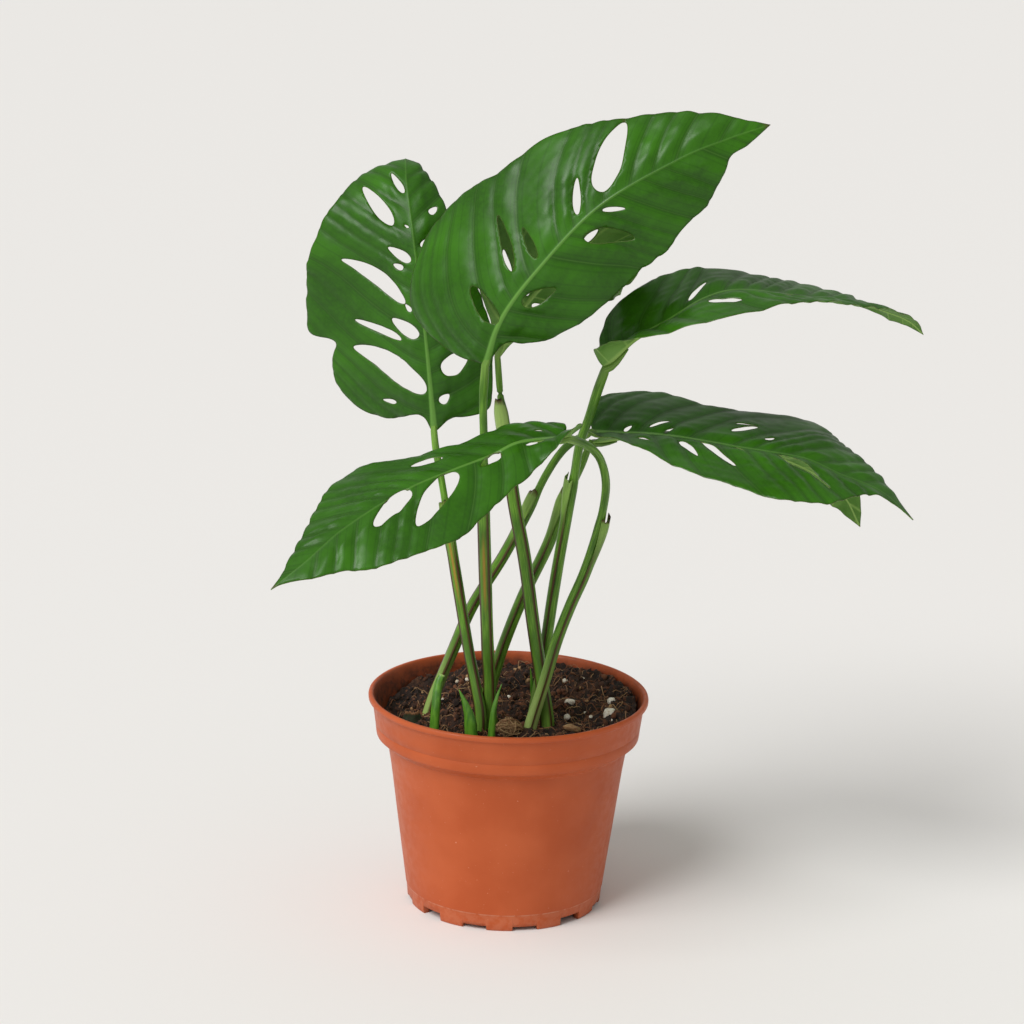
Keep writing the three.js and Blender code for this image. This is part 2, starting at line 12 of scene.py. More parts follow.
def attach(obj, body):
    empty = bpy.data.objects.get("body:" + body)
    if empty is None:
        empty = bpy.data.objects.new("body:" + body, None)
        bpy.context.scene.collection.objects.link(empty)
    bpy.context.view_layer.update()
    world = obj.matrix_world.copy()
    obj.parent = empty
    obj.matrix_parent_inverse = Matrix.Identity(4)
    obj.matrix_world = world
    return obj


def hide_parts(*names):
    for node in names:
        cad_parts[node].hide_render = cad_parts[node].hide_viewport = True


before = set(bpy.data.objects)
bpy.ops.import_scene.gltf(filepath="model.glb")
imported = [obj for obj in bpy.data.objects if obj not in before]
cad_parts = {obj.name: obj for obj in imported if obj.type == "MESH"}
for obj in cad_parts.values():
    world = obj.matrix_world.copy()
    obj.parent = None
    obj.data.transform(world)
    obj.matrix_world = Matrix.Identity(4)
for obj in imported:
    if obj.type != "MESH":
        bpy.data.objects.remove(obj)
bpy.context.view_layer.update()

bl_info = {
    "name": "Potted swiss cheese vine",
    "version": (1, 0, 0),
    "blender": (4, 5, 0),
    "location": "View3D > Sidebar > Vine",
    "description": "Builds a potted swiss cheese vine piece by piece on its solid model",
    "category": "Add Mesh",
}

MM = 0.001
BODY = "root"


def linear(hex_colour):
    """An sRGB hex colour as linear red, green, blue and alpha."""
    parts = [int(hex_colour[i : i + 2], 16) / 255 for i in (1, 3, 5)]
    return tuple(((c + 0.055) / 1.055) ** 2.4 if c > 0.04045 else c / 12.92 for c in parts) + (1.0,)


def colour_property(name, description, hex_colour):
    return FloatVectorProperty(
        name=name, description=description, default=linear(hex_colour), size=4, subtype="COLOR", min=0, max=1
    )


def length_property(name, description, millimetres):
    return FloatProperty(name=name, description=description, default=millimetres * MM, unit="LENGTH", min=0)


# Leaf blades. Each is laid out flat: across the midrib, and along it from the base, in millimetres.
# midrib: its points in space. face: where the upper face looks, base to tip. fold: how each half
# lifts from the midrib, as (along, degrees). curl: how far a half bends over 40 mm. left, right:
# the margin. holes: both ends, the one near the midrib first, width, and a bow towards the tip.
LEAVES = [
  {
    "name": "leaf_back_left",
    "midrib": [
      [-30, 12, 178], [-33, 8, 209], [-36, 8, 232], [-39, 12, 252], [-42, 24, 269],
      [-43, 38, 275], [-44, 52, 270],
    ],
    "face": [[-0.4, -0.88, 0.3], [-0.4, -0.85, 0.3], [-0.05, -0.5, 0.85]],
    "fold_left": [[0, 0], [95, 0], [112, -4], [127, -22]],
    "fold_right": [[0, -28], [60, -28], [125, -32]],
    "curl": [-10, -10],
    "left": [
      [1, 0], [5, 6], [20, 3], [33, 6], [41, 14], [42, 24], [39, 33], [50, 37], [51, 48],
      [49, 58], [43, 76], [34, 89.5], [25, 98], [18.5, 106.5], [11, 118], [0, 127],
    ],
    "right": [
      [1, 0], [6, 4], [13, 4.5], [20, 6], [22.5, 11], [23.2, 21], [24.1, 31], [24, 40],
      [21.5, 51], [19, 62], [16, 76], [14, 84], [12, 92], [8, 102], [3, 113], [0, 127],
    ],
    "holes": [
      [7, 80, 16.5, 99, 5, -0.5], [1.5, 91.5, 5.2, 101, 2.4], [-7, 82, -10, 85, 2.5],
      [1.3, 77.5, 2.6, 78.8, 0.8], [-2.4, 69.8, -5.6, 72.6, 2.2], [2.1, 65, 10, 71.5, 3.4],
      [5.3, 62.5, 9, 64.8, 1.9], [6, 50, 30, 70, 5.8, 1.4], [4, 46.7, 6, 49.5, 1.8],
      [9.7, 35.8, 29, 43.5, 3.4], [2.6, 37.1, 13, 43.8, 5], [1.8, 15.5, 31, 31.5, 9.2, 2.4],
      [-5.2, 22.8, -14.6, 29.4, 7], [-3.1, 11.2, -6.7, 14, 3], [14.6, 10, 20.2, 10.5, 1.6],
    ],
  },
  {
    "name": "leaf_top_front",
    "midrib": [
      [-11, -38, 214], [-6, -42, 231], [6, -44, 249], [27, -43, 272], [54, -37, 288],
      [71, -33, 295], [86, -30, 300],
    ],
    "face": [[-0.35, -0.88, 0.3], [-0.35, -0.88, 0.3]],
    "fold_left": [[0, 0], [138, 0]],
    "fold_right": [[0, -34], [70, -32], [138, -15]],
    "curl": [-20, -18],
    "left": [
      [1, 0], [17, -2], [34, 2], [43, 16], [46, 26], [44, 42], [37, 56], [34, 72], [25, 92],
      [19, 106], [12, 119], [5, 130], [0, 138],
    ],
    "right": [
      [1, 0], [3, 8], [6, 11.5], [12, 13], [18, 20], [24, 34], [26, 45], [28, 63], [27, 83],
      [22, 95], [19, 106], [11, 117], [5.5, 122], [4, 129], [0, 138],
    ],
    "holes": [
      [4, 74.5, 22, 94.5, 8.5], [2.8, 64, 13, 71.5, 2.8], [-1.8, 71.5, -5.6, 78.5, 1.6],
      [-4.6, 60, -16.5, 75.5, 5.5], [6.5, 34.5, 25.5, 44.5, 4], [3, 43.5, 14.7, 47.5, 2.9],
      [0.6, 17, 16, 21.3, 5.5], [-3.6, 27.7, -8.9, 39.6, 5],
    ],
  },
  {
    "name": "leaf_top_behind",
    "midrib": [
      [-7, -8, 211], [-1, -11.5, 225], [8, -12.5, 237.5], [19.3, -10, 246], [31.6, -6, 250.2],
      [41, -1, 251], [47.3, 3.5, 249.9],
    ],
    "face": [[0.35, 0.9, 0.35], [0.3, 0.9, 0.45]],
    "fold_left": [[0, -15], [90, -10]],
    "fold_right": [[0, -15], [90, -10]],
    "curl": [-12, -12],
    "left": [
      [1, 0], [2.5, 6], [5, 13], [8.6, 21], [13, 34], [17, 50], [19.5, 62], [20, 72], [17, 78],
      [8, 78.5], [0, 78],
    ],
    "right": [
      [1, 0], [4, 5.6], [8, 12], [17, 19], [24, 23.5], [31, 29], [36, 34.5], [32, 39.5],
      [26.5, 43.5], [22, 47.5], [18, 52], [14.5, 58], [10, 65], [4, 73], [0, 78],
    ],
    "holes": [
      [-12, 28.5, -21, 31.5, 1.3], [-7, 51, -11.5, 55.5, 2.4], [-1.6, 26, -6.5, 28.5, 2.2],
      [1.8, 24, 6, 26.5, 2.2],
    ],
  },
  {
    "name": "leaf_front_left",
    "midrib": [
      [18, -55, 193], [2, -63, 193], [-9, -69, 189], [-35, -84, 181], [-56, -97, 170],
      [-69, -106, 160], [-80, -112, 152],
    ],
    "face": [[0, -0.37, 0.93], [0, -0.37, 0.93]],
    "fold_left": [[-10, 75], [2, 50], [16, -10], [123, -12]],
    "fold_right": [[0, -12], [20, -20], [60, -15], [123, -8]],
    "curl": [-10, -6],
    "left": [
      [1, 0], [4, -4], [8, -3], [11, 4], [12, 12], [14, 20], [18, 34], [24, 49], [27, 61],
      [25, 74], [22, 85], [18, 95], [12, 102], [6, 111], [1.5, 118], [0, 123],
    ],
    "right": [
      [1, 0], [10, -4], [16, 4], [17, 14], [17, 26], [20, 38], [25, 50], [32, 59], [31, 68],
      [27, 79], [20, 89], [12, 99], [7, 109], [2, 118], [0, 123],
    ],
    "holes": [
      [-10, 43.5, -14, 54, 4.5], [1.8, 45, 15, 70, 8], [0.8, 63, 6.4, 82, 6.5],
      [0.6, 26.7, 3.6, 36, 4], [3, 10, 2.5, 17, 2.5], [-5, 7, -5.5, 10, 0.8],
    ],
  },
  {
    "name": "leaf_upper_right",
    "midrib": [
      [32, -15, 209], [41, -17, 220], [53, -20, 228], [66, -22, 237], [79, -20, 240],
      [101, -14, 237], [123, -4, 233], [141, 6, 226], [149, 12, 219],
    ],
    "face": [
      [-0.2, -0.4, 0.9], [0, -0.25, 0.95], [0, -0.06, 0.97], [0, -0.06, 0.97], [0, 0, 0.95],
    ],
    "fold_left": [[0, 22], [35, 8], [60, 2], [110, 2], [120, -20], [141, -70]],
    "fold_right": [
      [0, 110], [3, 100], [6, 76], [10, 54], [16, 32], [24, 19], [33, 11], [44, 3], [60, -3],
      [80, 4], [141, 8],
    ],
    "curl": [-6, -8],
    "left": [
      [1, 0], [7, 3], [14, 9], [21, 15], [27, 23], [29, 34], [25, 46], [21, 60], [22, 76],
      [21, 92], [16, 107], [8, 120], [2.5, 132], [0, 141],
    ],
    "right": [
      [1, 0], [4, 0.5], [8, 3], [10, 6], [13, 10], [15.5, 16], [17.5, 24], [19, 33], [20.5, 44],
      [21, 56], [19, 70], [16, 85], [12, 100], [8, 115], [4, 130], [0, 141],
    ],
    "holes": [
      [3.5, 39.3, 9, 48, 3.3], [-6, 46, -10.5, 56, 3], [-3.6, 25.5, -5.4, 32, 2.2],
      [-1.8, 69, -7.2, 85.5, 2.4],
    ],
  },
  {
    "name": "leaf_lower_right",
    "midrib": [
      [28, 0, 182], [54, -6, 183], [82, -14, 181], [104, -20, 179], [117, -22, 174],
      [132, -22, 168], [145, -20, 157],
    ],
    "face": [[0, -0.1, 0.98], [0, -0.15, 0.95], [0.1, -0.25, 0.95], [0.2, -0.3, 0.9]],
    "fold_left": [[0, 20], [42, 8], [84, 0]],
    "fold_right": [[0, 8], [42, 0], [127, -5]],
    "curl": [-15, -15],
    "left": [
      [1, 0], [12, -3], [22, 0], [30, 8], [34, 20], [29, 32], [30, 44], [34, 56], [40, 68],
      [38, 80], [31, 93], [21, 102], [11, 109], [4, 118], [0, 127],
    ],
    "right": [
      [1, 0], [4, -1], [9, 6], [14, 15], [18, 24], [24, 40], [27, 58], [29, 72], [28, 80],
      [23, 90], [16, 96], [8, 103], [3, 112], [1, 119], [0, 127],
    ],
    "holes": [
      [1, 12, 3.5, 14.5, 1.5], [3.7, 21, 8, 27.5, 1.6], [1.5, 27, 5, 29.5, 1.2],
      [9, 50, 16, 58.5, 2.6], [7, 63, 10, 66, 1.2], [-8, 19, -10, 24, 1.2],
      [-5, 34, -13, 43, 2.4], [-2.7, 41, -13.5, 57, 3], [-1, 54, -4, 58, 1.8],
      [-1.9, 70, -12, 91, 4], [15, 50, 17, 58, 0.8],
    ],
  },
  {
    "name": "leaf_lower_behind",
    "midrib": [
      [28, 13, 175], [48, 23, 176], [70, 31, 173], [92, 37, 168], [112, 40, 160],
      [126, 41, 150], [133, 39, 138],
    ],
    "face": [[-0.1, 0.35, 0.9], [0.1, 0.3, 0.9], [0.3, 0.85, 0.3]],
    "fold_left": [[0, -2], [10, 0], [25, 8], [55, 8], [75, -4], [130, -8]],
    "fold_right": [[0, -5], [130, -8]],
    "curl": [-4, -10],
    "left": [
      [1, 0], [6, 2], [15, 4], [22, 12], [26, 28], [27, 46], [25, 64], [20, 82], [13, 98],
      [5, 114], [0, 128],
    ],
    "right": [
      [1, 0], [6, 2], [11, 4], [14, 12], [16, 28], [17, 46], [17, 64], [17, 82], [12, 98],
      [5, 114], [0, 128],
    ],
    "holes": [
      [4, 35, 14, 45, 5], [-4, 32, -10, 40, 4], [4, 56, 14, 68, 4], [-4, 54, -11, 63, 3],
    ],
  },
]

# Petioles, from the mix to the base of the blade. sheath: how far up it its sheath runs, in
# millimetres of petiole; opens: where the sheath's open side looks; foot: how pale its foot is,
# a painted highlight; pale: how pale its sheath's top is; slim: its half thickness above the
# sheath; dry: where the sheath has a dry streak, if it has one.
PETIOLES = [
  {
    "name": "petiole_back_left",
    "leaf": "leaf_back_left",
    "sheath": 92,
    "opens": (-0.4, -0.9, 0),
    "foot": 0.1,
    "pale": 0.2,
    "slim": 1.3,
    "dry": 68,
    "radius": 1.8,
    "path": [
      [-10, -19, 66], [-10, -17, 78], [-12, -14, 88], [-15, -10, 101], [-20, -3, 126],
      [-26, 6, 157], [-29, 10, 171], [-30, 12, 178],
    ],
  },
  {
    "name": "petiole_top_front",
    "leaf": "leaf_top_front",
    "sheath": 113,
    "opens": (-0.35, -0.92, 0),
    "foot": 0.1,
    "pale": 0.3,
    "slim": 1.45,
    "dry": 70,
    "radius": 2.1,
    "path": [
      [-5.5, -11, 66], [-6.5, -13, 77], [-7, -15, 91], [-8, -18, 107], [-9.5, -24, 139],
      [-10.5, -28, 163], [-11, -33, 186], [-11.5, -36, 201], [-11, -38, 214],
    ],
  },
  {
    "name": "petiole_top_behind",
    "leaf": "leaf_top_behind",
    "sheath": 131,
    "opens": (-0.35, -0.92, 0),
    "foot": 0.15,
    "pale": 1.0,
    "slim": 1.15,
    "dry": 0,
    "radius": 2.2,
    "path": [
      [15.5, -13, 66], [14.5, -13, 77], [12, -12, 92], [8.5, -11.5, 113], [5, -11, 136],
      [0.5, -10, 158], [-3, -9, 180], [-5.5, -8.5, 196], [-7, -8, 211],
    ],
  },
  {
    "name": "petiole_front_left",
    "leaf": "leaf_front_left",
    "sheath": 96,
    "opens": (0.85, -0.5, 0),
    "foot": 0.9,
    "pale": 0.5,
    "slim": 1.6,
    "dry": 0,
    "radius": 2,
    "path": [
      [7, -17, 66], [8.5, -17, 75], [13, -18.5, 92], [17, -20, 108], [21.5, -22, 122],
      [26, -24, 134], [29.5, -26, 146], [32, -28, 158], [33, -31, 170], [31, -35, 179.5],
      [27.5, -41, 185.5], [23, -47.5, 189.5], [18, -55, 192.6],
    ],
  },
  {
    "name": "petiole_upper_right",
    "leaf": "leaf_upper_right",
    "sheath": 104,
    "opens": (-0.9, -0.35, 0),
    "foot": 0.3,
    "pale": 0.5,
    "slim": 1.75,
    "dry": 0,
    "radius": 2,
    "path": [
      [9, -2, 66], [10.5, -3, 77], [13.5, -5, 101], [15.5, -6.5, 119], [17.5, -8, 135],
      [20, -9.5, 153], [22, -11, 168], [23.5, -12, 180], [26.5, -13, 190], [29.5, -14, 201],
      [32, -15, 209],
    ],
  },
  {
    "name": "petiole_lower_right",
    "leaf": "leaf_lower_right",
    "sheath": 107,
    "opens": (-0.75, -0.6, 0.2),
    "foot": 0.8,
    "pale": 0.5,
    "slim": 1.5,
    "dry": 0,
    "radius": 1.9,
    "path": [
      [-32, 12, 60], [-28, 11, 75], [-21, 9.5, 94], [-14, 8, 112], [-2.5, 5.5, 133],
      [5.5, 4, 150], [12, 2.5, 165], [19, 1, 176], [28, 0, 182],
    ],
  },
  {
    "name": "petiole_lower_behind",
    "leaf": "leaf_lower_behind",
    "sheath": 96,
    "opens": (-0.85, -0.45, 0.2),
    "foot": 0.1,
    "pale": 0.5,
    "slim": 1.4,
    "dry": 0,
    "radius": 2.1,
    "path": [
      [-11, 20, 66], [-8, 19.5, 73], [-2, 18, 94], [5, 16.5, 114], [13.5, 15, 134],
      [19.5, 14, 152], [25, 13, 166], [28, 13, 175],
    ],
  },
]


# Height of the mix at the pot's middle, and radius of the pot's foot, in millimetres.
MIX_TOP = 73
FOOT_RADIUS = 36.6

# Lumps that lie half sunk in the mix: node they stand for, centre over the mix, half sizes, lift.
# A loose grain of perlite has only its centre and size, and the scrap its centre and half width.
LUMPS = [
    ("perlite_large", (38, -8), (2.6, 2.2, 2.8), 1.2),
    ("perlite_medium", (23, 8), (2.3, 1.1, 1.2), 0.4),
    ("perlite_small", (22, -7), (1.3, 1.3, 1.2), 0.4),
    ("perlite_back", (28, 29), (1.9, 1.6, 1.5), 0.5),
]
LOOSE_PERLITE = [
    (22, -7, 0.9), (31, -6, 0.8), (21.6, 28.5, 1.2), (33, 40, 0.7), (0, 14.5, 0.9), (-25, 20, 0.7),
    (-20, 30, 0.8), (-16, 30, 0.9), (14, 11.6, 0.9), (38.6, 2, 1.7), (29, 3, 0.6), (26, -18, 0.6),
]
BARK = ("bark_chip", (24, -19), (4.2, 1.8, 1.4), 0.4)
TANGLE = ("fibre_tangle", (0.5, -19.5), (3.6, 3.2, 2.8), 1.0)
SCRAP = ("old_leaf_scrap", (-36, -2), 5.5)

# Shoots: node, points of the middle line, half thickness at each.
SHOOTS = [
    (
        "shoot_sheathed",
        [(-27, -21, 65), (-27, -20, 74), (-26.6, -19, 82), (-26, -17, 89), (-24.6, -16, 92.5)],
        [1.8, 1.8, 1.7, 1.6, 1.2],
    ),
    (
        "shoot_bud",
        [(-13, -27, 65), (-13.2, -27, 73), (-14, -26.6, 80), (-16.2, -26, 86), (-18.2, -25.4, 90)],
        [1.9, 2.5, 2.3, 1.3, 0.12],
    ),
    (
        "shoot_pointed",
        [(-6, -28.5, 65), (-5.8, -28.2, 74), (-5.4, -27.8, 82), (-4.2, -27.4, 88), (-2.6, -27, 93)],
        [1.4, 1.4, 1.2, 0.8, 0.12],
    ),
    (
        "shoot_spike",
        [(9.6, 10, 66), (9.4, 9.6, 74), (8.8, 9.2, 81), (8.0, 8.4, 88)],
        [1.0, 0.9, 0.7, 0.1],
    ),
]


# Settings.


class LeafSettings(bpy.types.PropertyGroup):
    # Darker tissue, and also the painted shade along the grooves of the side veins.
    deep_green_and_shade: colour_property("Deep green", "Darker tissue of the upper face", "#224b06")
    bright_green: colour_property("Bright green", "Brighter tissue of the upper face", "#356e08")
    # Painted shade: the dark colour painted into the creases over the side veins.
    crease_shade_green: colour_property("Crease green", "Creases over side veins", "#0f2c05")
    vein_green: colour_property("Vein green", "Side veins of the upper face", "#5a8a34")
    midrib_green: colour_property("Midrib green", "Midrib of the upper face", "#62913c")
    rim_brown: colour_property("Rim brown", "Corky rim of the blade and of its holes", "#4a4a22")
    underside_green: colour_property("Underside green", "Lighter tissue of the underside", "#6f9a48")
    underside_dark: colour_property("Underside dark", "Darker tissue of the underside", "#4c7a2a")
    underside_vein: colour_property("Underside vein", "Veins and midrib of the underside", "#94b860")
    thickness: length_property("Thickness", "Thickness of the blade", 0.45)
    grid: length_property("Mesh step", "Spacing of the points that carry the blade's relief", 1.05)
    vein_spacing: length_property("Vein spacing", "Distance between side veins along the midrib", 9.5)
    quilting: length_property("Quilting", "How far the tissue swells between side veins", 1.5)


class StemSettings(bpy.types.PropertyGroup):
    stem_green: colour_property("Petiole green", "Petiole skin", "#4a771c")
    stem_light: colour_property("Petiole light green", "Lighter lines along a petiole", "#73a035")
    # Painted shadow: darker stretches at random along the petioles.
    stem_shadow_green: colour_property("Petiole deep green", "Darker stretches of a petiole", "#305614")
    # Painted highlight on the feet of petioles; the tops of sheaths and rims of shoots are pale in colour.
    stem_pale_and_highlight: colour_property("Petiole pale", "Feet of petioles and tops of sheaths", "#a8c070")
    maroon: colour_property("Maroon", "Edges of sheaths and specks", "#4a2a1e")
    ochre: colour_property("Ochre", "Dry streaks on sheaths", "#a2762c")
    shoot_green: colour_property("Shoot green", "Young shoots", "#3c701a")
    shoot_light: colour_property("Shoot light green", "Tender parts of young shoots", "#649a2c")
    sheath_thickness: length_property("Sheath thickness", "Thickness of a petiole's sheath", 0.35)


class PotSettings(bpy.types.PropertyGroup):
    terracotta: colour_property("Terracotta", "Colour of the plastic", "#b05026")
    terracotta_light: colour_property("Light terracotta", "Lighter flow marks in the plastic", "#bb5a30")
    dust: colour_property("Dust", "Dust and scuffs", "#d9a688")
    # Soil stain and painted shade on the inner wall.
    stain_and_shade: colour_property("Stain", "Soil stain on the inner wall", "#3a2014")
    height: length_property("Height", "Height of the pot", 81.0)
    lip_radius: length_property("Lip radius", "Radius of the pot's lip", 52.5)
    wall: length_property("Wall", "Thickness of the pot's wall", 1.5)


class MixSettings(bpy.types.PropertyGroup):
    mix_black: colour_property("Peat black", "Darkest crumbs", "#150c07")
    mix_dark: colour_property("Peat brown", "Most crumbs", "#2e1a0d")
    mix_fibre: colour_property("Coir brown", "Fibrous crumbs and dark fibres", "#78492c")
    straw: colour_property("Straw", "Light fibres and stains", "#b09066")
    perlite_white: colour_property("Perlite white", "Perlite", "#e2dccd")
    bark_brown: colour_property("Bark brown", "Bark chips", "#8a5f3c")
    dead_green: colour_property("Dead leaf green", "Scrap of old leaf", "#2a351c")
    crumbs: IntProperty(name="Crumbs", description="Loose crumbs on the mix", default=1500, min=0, max=3000)
    fibres: IntProperty(name="Fibres", description="Loose fibres on the mix", default=650, min=0, max=1500)


class StageSettings(bpy.types.PropertyGroup):
    floor_colour: colour_property("Floor colour", "Plain floor under the pot", "#ebe9e6")
    key_power: FloatProperty(name="Key light", description="Strength of the main soft light", default=2.4)
    fill_power: FloatProperty(
        name="Fill light", description="Power of the weak side light", default=2.0, unit="POWER"
    )
    sky_strength: FloatProperty(
        name="Room light", description="Strength of the even light all round", default=0.46
    )
    lens: FloatProperty(name="Lens", description="Focal length of the camera", default=105.47, unit="CAMERA")


class VineSettings(bpy.types.PropertyGroup):
    leaf: PointerProperty(type=LeafSettings)
    stem: PointerProperty(type=StemSettings)
    pot: PointerProperty(type=PotSettings)
    mix: PointerProperty(type=MixSettings)
    stage: PointerProperty(type=StageSettings)


def unit(vectors):
    return vectors / np.linalg.norm(vectors, axis=-1, keepdims=True)


def full_turn(count):
    """Even angles all the way round."""
    return np.arange(count) / count * 2 * np.pi


def smooth_step(low, high, value):
    share = np.clip((value - low) / (high - low), 0.0, 1.0)
    return share * share * (3 - 2 * share)


def through(points, at):
    """A smooth curve through points, read at places counted in points."""
    points = np.asarray(points, float)
    last = len(points) - 1
    at = np.clip(np.asarray(at, float), 0, last)
    start = np.minimum(at.astype(int), last - 1)
    t = (at - start)[..., None]
    padded = np.vstack([2 * points[0] - points[1], points, 2 * points[-1] - points[-2]])
    a, b, c, d = (padded[start + k] for k in range(4))
    return 0.5 * (2 * b + (c - a) * t + (2 * a - 5 * b + 4 * c - d) * t**2 + (3 * b - a - 3 * c + d) * t**3)


def evenly(points, step):
    """The curve through points, in equal steps, with the length up to each."""
    fine = through(points, np.linspace(0, len(points) - 1, 60 * len(points)))
    run = np.concatenate([[0], np.cumsum(np.linalg.norm(np.diff(fine, axis=0), axis=1))])
    count = max(int(round(run[-1] / step)), 2)
    places = np.linspace(0, run[-1], count + 1)
    line = np.stack([np.interp(places, run, fine[:, k]) for k in range(fine.shape[1])], -1)
    return line, places


def noise(x, y, seed):
    """Smooth value noise from -1 to 1 on a lattice of unit squares."""
    size = 64
    table = np.random.default_rng(seed).uniform(-1.0, 1.0, (size, size))
    i, j = np.floor(x).astype(int), np.floor(y).astype(int)
    u, v = x - i, y - j
    u, v = u * u * (3 - 2 * u), v * v * (3 - 2 * v)
    near = table[i % size, j % size] * (1 - u) + table[(i + 1) % size, j % size] * u
    far = table[i % size, (j + 1) % size] * (1 - u) + table[(i + 1) % size, (j + 1) % size] * u
    return near * (1 - v) + far * v


def make_piece(name, points, faces, materials, slots=None, values=None):
    """Makes a mesh piece from points in millimetres and lets it ride on the plant's body."""
    mesh = bpy.data.meshes.new(name)
    mesh.from_pydata((np.asarray(points, float) * MM).tolist(), [], faces)
    for material in materials:
        mesh.materials.append(material)
    if slots is not None:
        mesh.polygons.foreach_set("material_index", np.asarray(slots, dtype=np.int32))
    for key, data in (values or {}).items():
        attribute = mesh.attributes.new(key, "FLOAT", "POINT")
        attribute.data.foreach_set("value", np.asarray(data, dtype=np.float32))
    mesh.polygons.foreach_set("use_smooth", np.full(len(mesh.polygons), True))
    mesh.update()
    piece = bpy.data.objects.new(name, mesh)
    bpy.context.scene.collection.objects.link(piece)
    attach(piece, BODY)
    return piece


class Bundle:
    """Collects closed shells, with their per-point values, into one mesh."""

    def __init__(self):
        self.points, self.faces, self.slots, self.values, self.count = [], [], [], {}, 0

    def add(self, points, faces, slot=0, **values):
        self.points.append(points)
        self.faces += [tuple(self.count + i for i in face) for face in faces]
        self.slots += [slot] * len(faces)
        for key, data in values.items():
            self.values.setdefault(key, []).append(np.broadcast_to(data, len(points)))
        self.count += len(points)

    def make(self, name, materials):
        values = {key: np.concatenate(data) for key, data in self.values.items()}
        return make_piece(name, np.vstack(self.points), self.faces, materials, self.slots, values)


def tube_faces(rings, around):
    """Faces of a closed tube of rings, with a flat cap at each end."""
    faces = []
    for i in range(rings - 1):
        for j in range(around):
            k = (j + 1) % around
            faces.append((i * around + j, i * around + k, (i + 1) * around + k, (i + 1) * around + j))
    faces.append(tuple(reversed(range(around))))
    faces.append(tuple((rings - 1) * around + j for j in range(around)))
    return faces


def frames_along(line, reference):
    """For each point of a line: a side, and the side at right angles to it nearest the reference."""
    ahead = unit(np.gradient(line, axis=0))
    reference = np.broadcast_to(np.asarray(reference, float), line.shape)
    up = unit(reference - ahead * np.sum(ahead * reference, -1, keepdims=True))
    return np.cross(up, ahead), up


def round_strand(line, reference, half):
    """A five-sided strand along a line, with its half thickness at each point."""
    turn = full_turn(5)
    section_x, section_y = half[:, None] * np.cos(turn), half[:, None] * np.sin(turn)
    side, up = frames_along(line, reference)
    rings = line[:, None] + side[:, None] * section_x[..., None] + up[:, None] * section_y[..., None]
    return rings.reshape(-1, 3), tube_faces(len(line), 5)


def round_lump(half, rough, seed, subdivisions=3):
    """An uneven lump as points and faces, from a ball with noise pushed in and out."""
    points, faces = ball_shell(subdivisions)
    rng = np.random.default_rng(seed)
    shift = rng.uniform(0, 50, 3)
    wobble = np.zeros(len(points))
    for scale, size in ((1.6, 1.0), (3.4, 0.55), (7.5, 0.3)):
        x, y, z = (points * scale).T
        a = noise(x + shift[0], y + z * 0.7, seed)
        b = noise(z + shift[1], x - y * 0.6, seed + 1)
        wobble += size * (a + b) / 2
    return points * (1 + rough * wobble)[:, None] * np.asarray(half), faces


def ball_shell(subdivisions):
    """Points and faces of a unit ball made of even triangles."""
    ball = bmesh.new()
    bmesh.ops.create_icosphere(ball, subdivisions=subdivisions, radius=1.0)
    points = np.array([v.co[:] for v in ball.verts])
    faces = [tuple(v.index for v in f.verts) for f in ball.faces]
    ball.free()
    return points, faces


# Materials.


# Values that the leaf and stem meshes hold at their points, for the patterns on them.
LEAF_VALUES = ("across", "along", "rim", "veins", "bulge", "rib", "to_tip")
STEM_VALUES = ("around", "along", "pale", "edge", "ochre")


def add_node(tree, kind, inputs=(), **settings):
    """Adds a shader node with its settings. Its inputs are values, nodes or sockets, in the
    order of the sockets in use or by their names."""
    node = tree.nodes.new("ShaderNode" + kind)
    for key, value in settings.items():
        setattr(node, key, value)
    if isinstance(inputs, dict):
        pairs = [(node.inputs[key], value) for key, value in inputs.items()]
    else:
        pairs = zip([socket for socket in node.inputs if socket.enabled], inputs)
    for socket, value in pairs:
        if isinstance(value, bpy.types.Node):
            value = next(out for out in value.outputs if out.enabled)
        if isinstance(value, bpy.types.NodeSocket):
            tree.links.new(value, socket)
        else:
            socket.default_value = value
    return node


def make_material(recipe, settings):
    """Makes a material from its recipe, which says its ground colour, the layers over that,
    each a share and a colour, and the rest of its finish."""
    material = bpy.data.materials.new(recipe.__name__)
    material.use_nodes = True
    tree = material.node_tree
    tree.nodes.clear()
    colour, layers, finish = recipe(tree, settings)
    for share, over in layers:
        colour = add_node(tree, "Mix", (share, colour, over), data_type="RGBA")
    shader = add_node(tree, "BsdfPrincipled", {"Base Color": colour, **finish})
    add_node(tree, "OutputMaterial", {"Surface": shader})
    return material


def place_mm(tree, stretch=(1, 1, 1)):
    """The object's own coordinates in millimetres, stretched by an amount along each axis."""
    place = add_node(tree, "TexCoord").outputs["Object"]
    scale = tuple(s / MM for s in stretch)
    return add_node(tree, "VectorMath", (place, scale), operation="MULTIPLY")


def mottle(tree, place, size, span, reach=(0.0, 1.0), detail=3.0, roughness=0.5):
    """Blotches of a real size in millimetres: noise within a span, carried smoothly to a reach."""
    noise_inputs = {"Vector": place, "Scale": 1 / size, "Detail": detail, "Roughness": roughness}
    blotches = add_node(tree, "TexNoise", noise_inputs)
    return add_node(tree, "MapRange", (blotches, *span, *reach), interpolation_type="SMOOTHSTEP")


def skin_relief(tree, place, size, depth, strength=1.0, detail=3.0, roughness=0.5):
    """A fine relief with a real grain size and depth in millimetres."""
    noise_inputs = {"Vector": place, "Scale": 1 / size, "Detail": detail, "Roughness": roughness}
    grain = add_node(tree, "TexNoise", noise_inputs)
    return add_node(tree, "Bump", {"Strength": strength, "Distance": depth * MM, "Height": grain})


